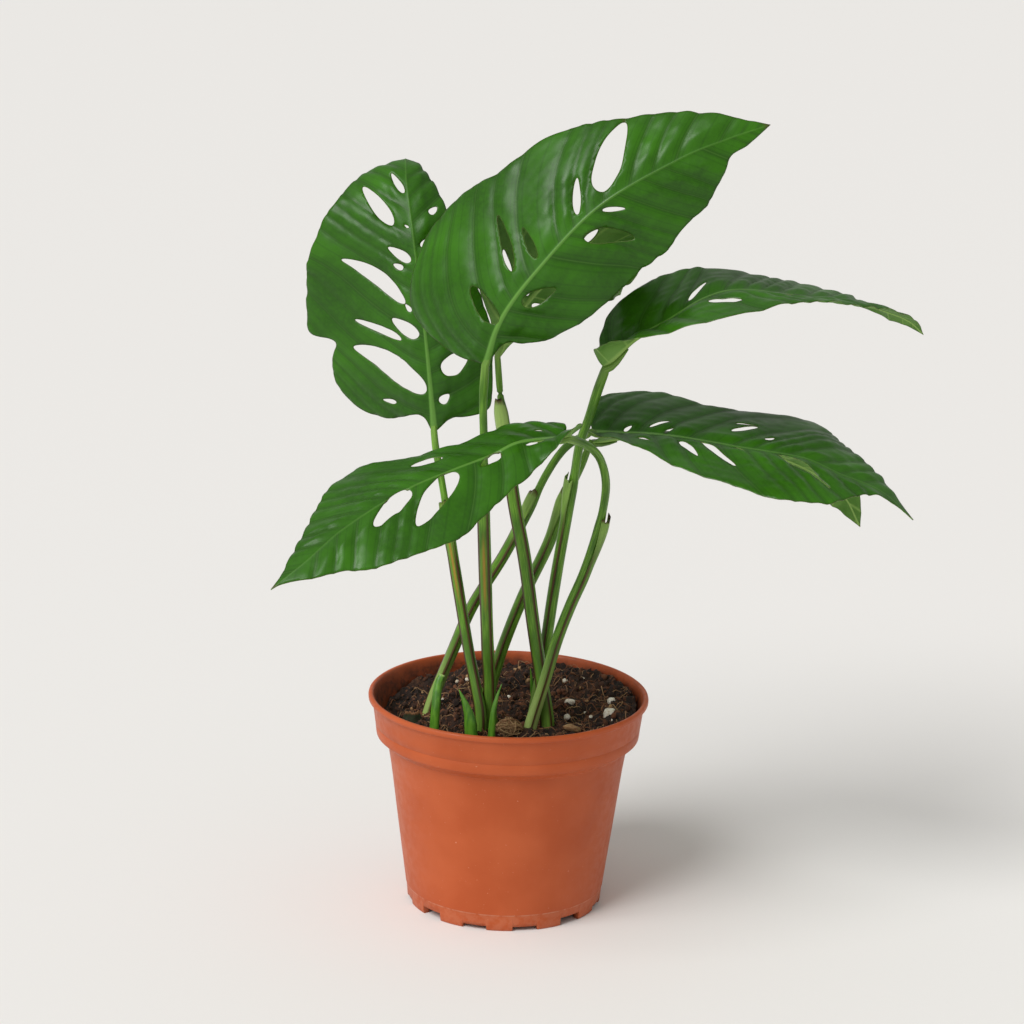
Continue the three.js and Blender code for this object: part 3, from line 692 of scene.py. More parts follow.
def vein_share(tree, veins, width, most=1.0):
    """Strongest on a side vein, fading to nothing at a share of the space between veins."""
    shifted = add_node(tree, "Math", (veins, 0.5), operation="ADD")
    turn = add_node(tree, "Math", (shifted,), operation="FRACT")
    off = add_node(tree, "Math", (turn, 0.5), operation="SUBTRACT")
    away = add_node(tree, "Math", (off,), operation="ABSOLUTE")
    return add_node(tree, "MapRange", (away, 0.0, width, most, 0.0), interpolation_type="SMOOTHSTEP")


def midrib_share(tree, value, spread):
    """One on the midrib, which narrows towards the tip."""
    away = add_node(tree, "Math", (value["across"],), operation="ABSOLUTE")
    share = add_node(tree, "Math", (away, value["rib"]), operation="DIVIDE")
    limits = (share, 0.55 * spread, 1.25 * spread, 1.0, 0.0)
    return add_node(tree, "MapRange", limits, interpolation_type="SMOOTHSTEP")


def waxy_leaf_upper(tree, settings):
    """Living leaf, upper face: a smooth wax skin over dark green tissue.
    The eye sees broad soft highlights, thin paler veins and a light midrib; shade in the creases over the
    veins is painted darker."""
    value = {key: add_node(tree, "Attribute", attribute_name=key).outputs["Fac"] for key in LEAF_VALUES}
    place = add_node(tree, "CombineXYZ", (value["across"], value["along"]))
    fade = {"interpolation_type": "SMOOTHSTEP"}
    # Painted shade: darker along the grooves of the side veins, where the tissue doesn't swell.
    vein_groove_shade = add_node(tree, "MapRange", (value["bulge"], 0.0, 0.55, 0.45, 0.0), **fade)
    thirds = add_node(tree, "Math", (value["veins"], 3.0, 0.5), operation="MULTIPLY_ADD")
    from_tip = add_node(tree, "MapRange", (value["to_tip"], 25.0, 125.0, 0.2, 0.9), **fade)
    midrib = add_node(tree, "Math", (midrib_share(tree, value, 1.0), from_tip), operation="MULTIPLY")
    rim = add_node(tree, "MapRange", (value["rim"], 0.05, 0.4, 0.45, 0.0), **fade)
    tip = add_node(tree, "MapRange", (value["to_tip"], 0.8, 3.5, 0.8, 0.0), **fade)
    layers = [
        (mottle(tree, place, 34.0, (0.3, 0.72), roughness=0.55), settings.bright_green),
        (mottle(tree, place, 1.6, (0.3, 0.75), (0.0, 0.35), 4.0, 0.6), settings.bright_green),
        (vein_groove_shade, settings.deep_green_and_shade),
        # Painted shade in the creases over the side veins and over finer veins between them.
        (vein_share(tree, value["veins"], 0.1, 0.36), settings.crease_shade_green),
        (vein_share(tree, thirds, 0.12, 0.2), settings.crease_shade_green),
        (vein_share(tree, value["veins"], 0.03, 0.22), settings.vein_green),
        (midrib, settings.midrib_green),
        (rim, settings.rim_brown),
        (tip, settings.rim_brown),
    ]
    finish = {
        "Roughness": mottle(tree, place, 9.0, (0.3, 0.7), (0.3, 0.44)),
        "IOR": 1.43,
        "Specular IOR Level": 0.32,
        "Normal": skin_relief(tree, place, 0.7, 0.05, 0.5, roughness=0.6),
    }
    return settings.deep_green_and_shade, layers, finish


def leaf_underside(tree, settings):
    """Living leaf, underside: matt, paler and more olive, with raised pale veins."""
    value = {key: add_node(tree, "Attribute", attribute_name=key).outputs["Fac"] for key in LEAF_VALUES}
    place = add_node(tree, "CombineXYZ", (value["across"], value["along"]))
    rim_limits = (value["rim"], 0.05, 0.4, 0.5, 0.0)
    layers = [
        (mottle(tree, place, 18.0, (0.35, 0.7)), settings.underside_dark),
        (vein_share(tree, value["veins"], 0.07, 0.6), settings.underside_vein),
        (midrib_share(tree, value, 1.15), settings.underside_vein),
        (add_node(tree, "MapRange", rim_limits, interpolation_type="SMOOTHSTEP"), settings.rim_brown),
    ]
    relief = skin_relief(tree, place, 0.8, 0.06, 0.5, 4.0, 0.6)
    finish = {"Roughness": 0.55, "IOR": 1.42, "Specular IOR Level": 0.3, "Normal": relief}
    return settings.underside_green, layers, finish


def corky_leaf_rim(tree, settings):
    """The cut-thin rim of a leaf and of its holes: corky and brown."""
    specks = mottle(tree, place_mm(tree), 1.5, (0.35, 0.7))
    return settings.rim_brown, [(specks, settings.underside_green)], {"Roughness": 0.6}


def green_petiole_skin(tree, settings):
    """Petiole skin: smooth, moist and lightly ribbed along its length, with a painted highlight that makes
    it paler at the foot and painted shadow in darker stretches.
    """
    value = {key: add_node(tree, "Attribute", attribute_name=key).outputs["Fac"] for key in STEM_VALUES}
    round_it = add_node(tree, "Math", (value["around"], 2.2), operation="MULTIPLY")
    place = add_node(tree, "CombineXYZ", (round_it, value["along"]))
    lines = add_node(tree, "VectorMath", (place, (1.0, 0.06, 1.0)), operation="MULTIPLY")
    layers = [
        (mottle(tree, lines, 0.7, (0.42, 0.62), roughness=0.6), settings.stem_light),
        # Painted shadow: darker stretches along the petiole.
        (mottle(tree, place, 22.0, (0.4, 0.65), (0.0, 0.7), 2.0), settings.stem_shadow_green),
        # The pale attribute holds the painted highlight at the foot and the pale top of the sheath.
        (value["pale"], settings.stem_pale_and_highlight),
        (mottle(tree, place, 1.1, (0.66, 0.72), (0.0, 0.5), 5.0, 0.75), settings.maroon),
        (value["edge"], settings.maroon),
        (value["ochre"], settings.ochre),
    ]
    ribs = skin_relief(tree, lines, 0.7, 0.12, 0.6, roughness=0.6)
    finish = {"Roughness": 0.34, "IOR": 1.45, "Specular IOR Level": 0.3, "Normal": ribs}
    return settings.stem_green, layers, finish


def tender_shoot_skin(tree, settings):
    """Young shoot: tender, bright green and slightly shiny."""
    place = place_mm(tree, (1, 1, 0.15))
    edge = add_node(tree, "Attribute", attribute_name="edge").outputs["Fac"]
    layers = [
        (mottle(tree, place, 1.2, (0.3, 0.7)), settings.shoot_light),
        (edge, settings.stem_pale_and_highlight),
    ]
    relief = skin_relief(tree, place, 0.5, 0.05, 0.5)
    finish = {"Roughness": 0.38, "IOR": 1.42, "Coat Weight": 0.15, "Normal": relief}
    return settings.shoot_green, layers, finish


def terracotta_polypropylene(tree, settings):
    """Moulded polypropylene, coloured terracotta all through: a soft satin face with faint
    flow mottling, pale dust, scuffs where it stands, and soil stains with painted shade inside."""
    place = place_mm(tree)
    wear = add_node(tree, "Attribute", attribute_name="wear").outputs["Fac"]
    inside = add_node(tree, "Attribute", attribute_name="inside").outputs["Fac"]
    scuffs = mottle(tree, place, 2.6, (0.35, 0.6), (0.0, 0.4), 5.0, 0.65)
    # Blotches of soil stain and painted shade inside the pot.
    stains = mottle(tree, place, 5.0, (0.25, 0.7), (0.35, 1.0), 5.0, 0.7)
    layers = [
        (mottle(tree, place, 22.0, (0.3, 0.75)), settings.terracotta_light),
        (mottle(tree, place, 0.8, (0.72, 0.78), (0.0, 0.5), 2.0), settings.dust),
        (add_node(tree, "Math", (wear, scuffs), operation="MULTIPLY"), settings.dust),
        # Soil stain and painted shade: the inside of the pot is darkened all over, more in blotches.
        (add_node(tree, "Math", (inside, stains), operation="MULTIPLY"), settings.stain_and_shade),
    ]
    finish = {
        "Roughness": mottle(tree, place, 3.0, (0.3, 0.7), (0.38, 0.52), 4.0),
        "IOR": 1.42,
        "Specular IOR Level": 0.35,
        "Normal": skin_relief(tree, place, 0.35, 0.03, 0.5, roughness=0.6),
    }
    return settings.terracotta, layers, finish


def moist_peat_and_coir(tree, settings):
    """Moist peat and coir: near black crumbs with red-brown fibre, quite matt."""
    place = place_mm(tree)
    shade = add_node(tree, "Attribute", attribute_name="shade").outputs["Fac"]
    long_way = place_mm(tree, (1, 0.25, 1))
    layers = [
        (mottle(tree, place, 2.4, (0.35, 0.65), (0.0, 1.0), 6.0, 0.7), settings.mix_dark),
        (mottle(tree, long_way, 1.2, (0.56, 0.68), (0.0, 0.8), 4.0, 0.6), settings.mix_fibre),
        (shade, settings.mix_fibre),
    ]
    crumbs = skin_relief(tree, place, 2.4, 1.6, 1.0, 6.0, 0.7)
    return settings.mix_black, layers, {"Roughness": 0.9, "Normal": crumbs}


def coir_fibre(tree, settings):
    """Coir: thin curly coconut fibres, from rust brown to straw."""
    shade = add_node(tree, "Attribute", attribute_name="shade").outputs["Fac"]
    return settings.mix_fibre, [(shade, settings.straw)], {"Roughness": 0.8}


def expanded_perlite(tree, settings):
    """Perlite: chalky white expanded glass, stained by the mix in its pits."""
    place = place_mm(tree)
    stains = mottle(tree, place, 1.3, (0.45, 0.68), (0.0, 0.75), 5.0, 0.65)
    pits = skin_relief(tree, place, 0.5, 0.25, 1.0, 4.0, 0.7)
    return settings.perlite_white, [(stains, settings.straw)], {"Roughness": 0.85, "Normal": pits}


def pine_bark(tree, settings):
    """Pine bark chip: dry, flaky and tan to brown."""
    place = place_mm(tree, (0.35, 1, 1))
    flakes = mottle(tree, place, 0.8, (0.35, 0.65), (0.0, 1.0), 5.0, 0.65)
    ridges = skin_relief(tree, place, 0.8, 0.5, 1.0, 5.0, 0.65)
    return settings.bark_brown, [(flakes, settings.straw)], {"Roughness": 0.85, "Normal": ridges}


def dead_leaf(tree, settings):
    """A scrap of dead leaf: dull dark green gone tan at its edge."""
    edge = add_node(tree, "Attribute", attribute_name="edge").outputs["Fac"]
    layers = [
        (mottle(tree, place_mm(tree), 1.4, (0.4, 0.7), (0.0, 0.6), 4.0, 0.6), settings.mix_dark),
        (edge, settings.bark_brown),
    ]
    return settings.dead_green, layers, {"Roughness": 0.7}


def matt_paper_floor(tree, settings):
    """Matt studio paper: even, pale and without gloss."""
    return settings.floor_colour, [], {"Roughness": 0.9, "Specular IOR Level": 0.2}


# Leaf blades.


class LeafSurface:
    """Bends the flat layout of a leaf into space."""

    def __init__(self, leaf):
        self.leaf = leaf
        self.line = through(leaf["midrib"], np.linspace(0, len(leaf["midrib"]) - 1, 401))
        self.run = np.concatenate([[0], np.cumsum(np.linalg.norm(np.diff(self.line, axis=0), axis=1))])
        self.length = self.run[-1]
        self.ahead = unit(np.gradient(self.line, self.run, axis=0))

    def axes(self, along):
        """The midrib's points at places along it, the way its upper face looks, and its left."""
        inside = np.clip(along, 0, self.length)
        at = np.stack([np.interp(inside, self.run, self.line[:, k]) for k in range(3)], -1)
        ahead = unit(np.stack([np.interp(inside, self.run, self.ahead[:, k]) for k in range(3)], -1))
        at = at + ahead * (along - inside)[:, None]
        face = np.asarray(self.leaf["face"], float)
        share = np.clip(along / self.length, 0, 1) * (len(face) - 1)
        up = np.stack([np.interp(share, np.arange(len(face)), face[:, k]) for k in range(3)], -1)
        up = unit(up - ahead * np.sum(up * ahead, -1, keepdims=True))
        return at, up, np.cross(up, ahead)

    def half(self, across, along, sign):
        """One half's lean at the midrib, its curl by the millimetre, and its lean at each place."""
        fold = self.leaf["fold_left" if sign > 0 else "fold_right"]
        start = np.radians(np.interp(along, [f[0] for f in fold], [f[1] for f in fold]))
        curl = np.radians(self.leaf["curl"][0 if sign > 0 else 1]) / 40
        return start, curl, start + curl * np.abs(across)

    def place(self, across, along, height):
        """Points in space for places on the flat leaf, raised by a height off the upper face."""
        at, up, side = self.axes(along)
        sign = np.where(across >= 0, 1.0, -1.0)
        left, right = self.half(across, along, 1), self.half(across, along, -1)
        start, curl, lean = (np.where(sign > 0, a, b) for a, b in zip(left, right))
        out = sign * (np.sin(lean) - np.sin(start)) / curl
        lift = (np.cos(start) - np.cos(lean)) / curl
        normal = up * np.cos(lean)[:, None] - side * (sign * np.sin(lean))[:, None]
        tilt = (left[0] - right[0]) / 2
        middle = up * np.cos(tilt)[:, None] - side * np.sin(tilt)[:, None]
        blend = smooth_step(0.0, 3.0, np.abs(across))[:, None]
        normal = unit(middle * (1 - blend) + normal * blend)
        return at + side * out[:, None] + up * lift[:, None] + normal * np.asarray(height)[:, None]


def inside_outline(points, outline):
    """Which points lie inside a closed outline."""
    x, y = points[:, 0][:, None], points[:, 1][:, None]
    a, b = outline, np.roll(outline, -1, axis=0)
    crosses = (a[:, 1] > y) != (b[:, 1] > y)
    rise = np.where(b[:, 1] == a[:, 1], 1e-9, b[:, 1] - a[:, 1])
    left = x < (b[:, 0] - a[:, 0]) * (y - a[:, 1]) / rise + a[:, 0]
    return np.sum(crosses & left, axis=1) % 2 == 1


def distance_to(points, outline):
    """How far each point is from a closed outline."""
    a, b = outline, np.roll(outline, -1, axis=0)
    span = b - a
    reach = np.maximum(np.sum(span * span, -1), 1e-12)
    nearest = np.full(len(points), np.inf)
    for start in range(0, len(points), 2000):
        some = points[start : start + 2000]
        share = np.clip(np.sum((some[:, None] - a) * span, -1) / reach, 0, 1)
        gap = some[:, None] - (a + span * share[..., None])
        nearest[start : start + 2000] = np.sqrt(np.min(np.sum(gap * gap, -1), axis=1))
    return nearest


def margin_outline(leaf, length, seed):
    """The blade's outline, left side up and right side down, with a slight natural unevenness."""
    sides = []
    for name, sign in (("left", 1), ("right", -1)):
        points = [list(p) for p in leaf[name]]
        points[-1][1] = length
        line, run = evenly(points, 1.0)
        ahead = unit(np.gradient(line, axis=0))
        fade = smooth_step(0, 12, run) * smooth_step(0, 12, run[-1] - run)
        wobble = (0.28 * noise(run / 5.0, run * 0, seed) + 0.16 * noise(run / 2.1, run * 0, seed + 3)) * fade
        line = line + np.stack([ahead[:, 1], -ahead[:, 0]], -1) * wobble[:, None]
        line[:, 0] = np.maximum(line[:, 0], 0.0) * sign
        sides.append(line)
    left, right = sides
    return np.vstack([left, right[::-1][1:]])


def hole_outline(hole, seed):
    """A hole's outline: fuller towards its inner end, and slightly uneven."""
    from_across, from_along, to_across, to_along, width = hole[:5]
    bow = hole[5] if len(hole) > 5 else 0.0
    half = np.hypot(to_across - from_across, to_along - from_along) / 2
    turn = np.arctan2(to_along - from_along, to_across - from_across)
    count = int(np.clip(2 * (2 * half + width) / 0.8, 12, 90))
    around = full_turn(count)
    uneven = 1 + 0.07 * noise(around * 1.6, around * 0, seed)
    x = half * np.cos(around)
    y = width / 2 * np.sin(around) * (1 - 0.3 * np.cos(around)) * uneven
    across = (from_across + to_across) / 2 + x * np.cos(turn) - y * np.sin(turn)
    along = (from_along + to_along) / 2 + x * np.sin(turn) + y * np.cos(turn)
    return np.stack([across, along + bow * (1 - np.cos(around) ** 2)], -1)


def rib_width(along, length):
    """Half width of the midrib: broad where the petiole runs into it, hair-thin at the tip."""
    return 0.3 + 0.85 * np.exp(-np.maximum(along, 0) / 20) + 0.3 * (1 - along / length)


def vein_count(across, along, length, spacing):
    """Counts side veins from the base: a whole number is on a vein. Veins sweep to the tip."""
    away = np.abs(across)
    root = along.copy()
    for _ in range(12):
        lean = 0.15 + 1.2 * np.clip(root / length, 0, 1.1) ** 1.2
        root = along - lean * away - 0.011 * away**2
    uneven = 0.35 * np.sin(root / 11.0) + 0.2 * np.sin(root / 5.3 + 1)
    return root / spacing + uneven + np.where(across < 0, 0.45, 0.0)


def blade_relief(across, along, length, settings, seed):
    """How far the blade stands off its smooth surface, and how full it is between veins."""
    away = np.abs(across)
    spacing = settings.vein_spacing / MM
    count = vein_count(across, along, length, spacing)
    turn = count - np.floor(count)
    full = (1 - np.abs(2 * turn - 1) ** 2.0) * (0.55 + 0.45 * turn)
    reach = smooth_step(0.6, 5, away) * (0.2 + 0.8 * np.exp(-np.maximum(away - 6, 0) / 15))
    tip_fade = smooth_step(0, 25, length - along)
    quilting = settings.quilting / MM
    height = quilting * full * reach * tip_fade
    pucker = np.sin(away * 1.35 + 2.2 * noise(along / 7, away / 7, seed)) * full * np.exp(-away / 16)
    height += 0.16 * quilting * pucker * smooth_step(2.0, 5.0, away)
    height += 1.2 * noise(across / 17, along / 17, seed + 5) * smooth_step(2, 18, away)
    height += 0.10 * noise(across / 2.7, along / 2.7, seed + 6) * smooth_step(1, 5, away)
    return height, full, count


def blade_grid(leaf, length, settings, seed):
    """Flat points and triangles of a blade, its holes left open, with distances to its rims."""
    outline = margin_outline(leaf, length, seed)
    holes = [hole_outline(hole, seed + 10 + i) for i, hole in enumerate(leaf["holes"])]
    step = settings.grid / MM
    low, high = outline.min(0), outline.max(0)
    rows = np.arange(low[1], high[1], step * 0.866)
    cells = np.arange(low[0], high[0], step)
    grid = np.array([(x + (step / 2 if i % 2 else 0), y) for i, y in enumerate(rows) for x in cells])
    ribs = np.arange(0.6, length - 0.6, step)
    wide = rib_width(ribs, length)
    lines = [np.stack([wide * share, ribs], -1) for share in (-1.7, -1, -0.5, 0, 0.5, 1, 1.7)]
    near_rib = np.abs(grid[:, 0]) < rib_width(grid[:, 1], length) * 1.7 + step * 0.55
    points = np.vstack([grid[~near_rib | (grid[:, 1] < 0)]] + lines)
    keep = inside_outline(points, outline) & (distance_to(points, outline) > 0.45 * step)
    points = points[keep]
    for hole in holes:
        points = points[~inside_outline(points, hole) & (distance_to(points, hole) > 0.45 * step)]
    loops = [outline] + holes
    edges, start = [], 0
    for loop in loops:
        count = len(loop)
        edges += [(start + i, start + (i + 1) % count) for i in range(count)]
        start += count
    flat = np.vstack(loops + [points])
    made = delaunay_2d_cdt([Vector(p) for p in flat], edges, [], 1, 1e-4, False)
    flat = np.array([v[:] for v in made[0]])
    faces = np.array([f for f in made[2] if len(f) == 3])
    middle = flat[faces].mean(axis=1)
    keep = inside_outline(middle, outline)
    for hole in holes:
        keep &= ~inside_outline(middle, hole)
    faces = faces[keep]
    corners = flat[faces]
    ab, ac = corners[:, 1] - corners[:, 0], corners[:, 2] - corners[:, 0]
    turned = ab[:, 0] * ac[:, 1] - ab[:, 1] * ac[:, 0]
    faces[turned < 0] = faces[turned < 0][:, ::-1]
    used, inverse = np.unique(faces, return_inverse=True)
    flat, faces = flat[used], inverse.reshape(faces.shape)
    rim = np.min([distance_to(flat, loop) for loop in loops], axis=0)
    return flat, faces, rim


def rim_edges(faces):
    """Directed edges that only one triangle uses."""
    edges = np.vstack([faces[:, [0, 1]], faces[:, [1, 2]], faces[:, [2, 0]]])
    known = {tuple(e) for e in edges.tolist()}
    return [(a, b) for a, b in known if (b, a) not in known]


def build_blade(leaf, settings, materials, seed):
    """One blade: upper face, underside and rim, with its veins and midrib in relief."""
    surface = LeafSurface(leaf)
    length = surface.length
    flat, faces, rim = blade_grid(leaf, length, settings, seed)
    across, along = flat[:, 0], flat[:, 1]
    relief, full, count = blade_relief(across, along, length, settings, seed)
    width = rib_width(along, length)
    rib = np.exp(-((across / width) ** 2) * 1.4)
    groove = np.exp(-((across / (width * 2.2)) ** 2))
    thickness = settings.thickness / MM
    edge_thin = 0.45 + 0.55 * smooth_step(0, 2.5, rim)
    taper = 0.25 + 0.75 * (1 - np.clip(along / length, 0, 1))
    top = relief + 0.28 * rib * taper - 0.35 * groove * taper + thickness / 2 * edge_thin
    under = relief - 1.15 * rib * taper - thickness / 2 * edge_thin
    upper_points = surface.place(across, along, top)
    under_points = surface.place(across, along, under)
    total = len(flat)
    borders = rim_edges(faces)
    all_faces = [tuple(reversed(f)) for f in faces.tolist()]
    all_faces += [tuple(total + i for i in f) for f in faces.tolist()]
    all_faces += [(a, b, total + b, total + a) for a, b in borders]
    slots = [0] * len(faces) + [1] * len(faces) + [2] * len(borders)
    point_values = (across, along, rim, count, full, width, length - along)
    values = {key: np.tile(data, 2) for key, data in zip(LEAF_VALUES, point_values)}
    name = leaf["name"] + "_blade"
    piece = make_piece(name, np.vstack([upper_points, under_points]), all_faces, materials, slots, values)
    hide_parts(leaf["name"])
    return piece


# Petioles and shoots.


def petiole_section(radius, sides=22):
    """A section a little wider than deep with a shallow channel on its upper side."""
    turn = full_turn(sides)
    channel = 1 - 0.16 * np.exp(-(((turn - np.pi / 2 + np.pi) % (2 * np.pi) - np.pi) / 0.42) ** 2)
    x = radius[:, None] * np.cos(turn) * channel
    y = radius[:, None] * 0.94 * np.sin(turn) * channel
    return x, y, turn


def foot_highlight(petiole, run):
    """The painted highlight that makes a petiole paler towards its foot, at places along it."""
    return petiole["foot"] * (1 - smooth_step(6, 48, run))


def build_petiole(petiole, surface, material, settings, seed):
    """A petiole that runs on under its blade, and the sheath that wraps its lower part."""
    line, run = evenly(petiole["path"], 1.6)
    tail = np.array([2.0, 4.5, 7.5, 11.0])
    depth = np.array([-0.5, -0.75, -0.8, -0.7])
    line = np.vstack([line, surface.place(tail * 0, tail, depth * petiole["radius"])])
    run = np.concatenate([run, run[-1] + tail])
    top = run[-len(tail) - 1]
    bare = smooth_step(petiole["sheath"] - 6, petiole["sheath"] + 2, run)
    radius = petiole["radius"] * (1 - bare) + petiole["slim"] * bare
    radius = radius * (1 + 0.12 * (1 - smooth_step(0, 22, run - 6)))
    radius = radius * (1 + 0.07 * np.exp(-(((run - top + 9) / 7) ** 2)))
    radius = radius * (1 + 0.02 * noise(run / 9, run * 0, seed))
    radius[-len(tail) :] *= [0.85, 0.65, 0.45, 0.22]
    leaf_up = surface.axes(np.array([0.0]))[1][0]
    opens = unit(np.asarray(petiole["opens"], float))
    share = smooth_step(petiole["sheath"] - 10, top, run)[:, None]
    reference = unit(opens * (1 - share) + leaf_up * share)
    side, up = frames_along(line, reference)
    bundle = Bundle()
    x, y, turn = petiole_section(radius)
    rings = line[:, None] + side[:, None] * x[..., None] + up[:, None] * y[..., None]
    shape = x.shape
    # Painted highlight at the foot, and a paler stretch just under the blade.
    pale = foot_highlight(petiole, run) + 0.15 * smooth_step(top - 10, top, run)
    bundle.add(
        rings.reshape(-1, 3),
        tube_faces(*shape),
        around=np.broadcast_to(turn * petiole["radius"], shape).reshape(-1),
        along=np.broadcast_to(run[:, None], shape).reshape(-1),
        pale=np.broadcast_to(pale[:, None], shape).reshape(-1),
        edge=0.0,
        ochre=0.0,
    )
    add_sheath(bundle, petiole, line, run, side, up, radius, settings, seed)
    piece = bundle.make(petiole["name"] + "_stem", [material])
    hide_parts(petiole["name"])
    return piece


def add_sheath(bundle, petiole, line, run, side, up, radius, settings, seed):
    """The sheath: a thin shell that hugs the petiole and ends in a torn collar."""
    end = petiole["sheath"]
    last = int(np.searchsorted(run, end))
    line, run, side, up, radius = (a[:last] for a in (line, run, side, up, radius))
    skin = settings.sheath_thickness / MM
    reach = np.radians(54 + 34 * smooth_step(end - 18, end, run))
    lift = 1.3 * smooth_step(end - 22, end - 2, run)
    steps = 13
    sweep = np.linspace(-1, 1, steps)
    turn = np.pi / 2 + reach[:, None] * sweep
    torn = 1.2 * noise(sweep * 3.0, sweep * 0, seed + 4) + 0.8 * noise(sweep * 9.0, sweep * 0, seed + 5)
    outer = radius[:, None] + skin + 0.05 + 0.22 * np.exp(-(((1 - np.abs(sweep)) / 0.1) ** 2))
    rings = []
    for thick in (outer, outer - skin):
        x, y = thick * np.cos(turn), thick * np.sin(turn) + lift[:, None]
        points = line[:, None] + side[:, None] * x[..., None] + up[:, None] * y[..., None]
        ahead = unit(np.gradient(line, axis=0))
        points[-1] += ahead[-1] * torn[:, None]
        rings.append(points)
    loop = np.concatenate([rings[0], rings[1][:, ::-1]], axis=1)
    place = np.concatenate([sweep, sweep[::-1]])
    shape = (len(run), 2 * steps)
    from_edge = (1 - np.abs(place)) * reach[:, None] * radius[:, None]
    edge = 0.95 * (1 - smooth_step(0.5, 0.9, from_edge))
    edge *= (1 - smooth_step(end - 26, end - 8, run))[:, None]
    collar = 0.9 * smooth_step(end - 1.8, end - 0.2, run)[:, None]
    edge = np.maximum(edge, collar)
    # Pale top of the sheath, and the painted highlight at the foot.
    pale = petiole["pale"] * 0.6 * smooth_step(end - 26, end - 6, run) + foot_highlight(petiole, run)
    middle = np.exp(-((place - 0.15) ** 2) / 0.045)
    spot = np.exp(-(((run - petiole["dry"]) / 13) ** 4))
    ochre = spot[:, None] * middle * (0.9 if petiole["dry"] else 0.0)
    bundle.add(
        loop.reshape(-1, 3),
        tube_faces(*shape),
        around=np.broadcast_to((place * 4.0), shape).reshape(-1),
        along=np.broadcast_to(run[:, None], shape).reshape(-1),
        pale=np.broadcast_to(pale[:, None], shape).reshape(-1),
        edge=np.broadcast_to(edge, shape).reshape(-1),
        ochre=ochre.reshape(-1),
    )


def spindle(points, halves, mouth):
    """A shoot along a curve; one with a mouth is open at the top, with a thin pale rim."""
    line, run = evenly(points, 0.8)
    ahead = unit(np.gradient(line, axis=0))
    radius = np.interp(np.linspace(0, len(halves) - 1, len(line)), np.arange(len(halves)), halves)
    if mouth:
        back = slice(-1, -9, -1)
        line, ahead = np.vstack([line, line[back]]), np.vstack([ahead, ahead[back]])
        radius, run = np.concatenate([radius, 0.78 * radius[back]]), np.concatenate([run, run[back]])
    sides = 18
    turn = full_turn(sides)
    reference = np.array([0.2, -1.0, 0.0])
    up = unit(reference - ahead * np.sum(ahead * reference, -1, keepdims=True))
    side = np.cross(up, ahead)
    ridge = 1 + 0.07 * np.cos(turn * 3)
    x, y = radius[:, None] * np.cos(turn) * ridge, radius[:, None] * np.sin(turn) * ridge
    rings = line[:, None] + side[:, None] * x[..., None] + up[:, None] * y[..., None]
    edge = smooth_step(run.max() - 0.9, run.max() - 0.2, run) if mouth else run * 0
    return rings.reshape(-1, 3), tube_faces(len(line), sides), np.repeat(edge, sides)


# Pot and potting mix.


def pot_profile(settings):
    """The pot's wall in section, from the middle of its floor round its outside and back."""
    lip, top = settings.lip_radius / MM, settings.height / MM
    wall = settings.wall / MM
    lip_low, band_low, shoulder = top - 2.2, top - 15.7, top - 19.0
    band_top, band_foot, body_top, foot = 51.0, 49.3, 44.8, FOOT_RADIUS
    groove = band_low + 4.3
    inside = [
        (0, 5.0), (foot - 3.5, 5.0), (foot - 1.6, 5.6), (body_top - wall - 0.9, shoulder - 6),
        (body_top - wall, shoulder - 2), (body_top - wall + 1.4, shoulder + 0.4),
        (band_foot - wall - 0.9, band_low - 0.9), (band_foot - wall - 0.5, band_low + 0.4),
        (band_top - wall, lip_low - 1.4),
    ]
    rolled_lip = [
        (lip - 2.15, lip_low + 0.9), (lip - 1.95, top - 0.55), (lip - 1.6, top - 0.15),
        (lip - 1.15, top), (lip - 0.6, top - 0.05), (lip - 0.15, top - 0.4), (lip, top - 0.95),
        (lip - 0.05, lip_low + 0.35), (lip - 0.35, lip_low + 0.02),
    ]
    grooved_band = [
        (band_top + 0.3, lip_low - 0.12), (band_top, lip_low - 0.5), (50.2, band_low + 7.4),
        (49.83, groove + 0.34), (49.62, groove + 0.12), (49.6, groove - 0.12), (49.74, groove - 0.34),
        (band_foot + 0.14, band_low + 1.1), (band_foot + 0.02, band_low + 0.35),
        (band_foot - 0.35, band_low + 0.02), (band_foot - 0.6, band_low - 0.1),
    ]
    body = [
        (body_top + 0.75, shoulder + 0.62), (body_top + 0.6, shoulder + 0.5),
        (body_top + 0.45, shoulder + 0.25), (body_top + 0.42, shoulder), (body_top, shoulder - 1.7),
        (43.6, 53.0), (42.8, 47.0), (40.6, 30.0), (38.5, 14.5),
    ]
    foot_ring = [
        (37.5, 7.0), (37.46, 6.7), (37.42, 6.45), (37.28, 6.25), (37.2, 6.0), (36.95, 3.2),
        (foot + 0.05, 0.5), (foot - 0.3, 0.0), (foot - 2.1, 0.0), (foot - 2.4, 0.35), (foot - 2.5, 3.2),
    ]
    under_floor = [(13, 3.2), (13.0, 0.4), (12.6, 0.0), (0, 0.0)]
    return inside + rolled_lip + grooved_band + body + foot_ring + under_floor


def foot_notches():
    """Middle and half width, in radians, and height of each notch in the foot."""
    half = 4.7 / FOOT_RADIUS
    return [(np.radians(30 * i - 77), half, 3.0 if i % 3 == 1 else 1.7) for i in range(12)]


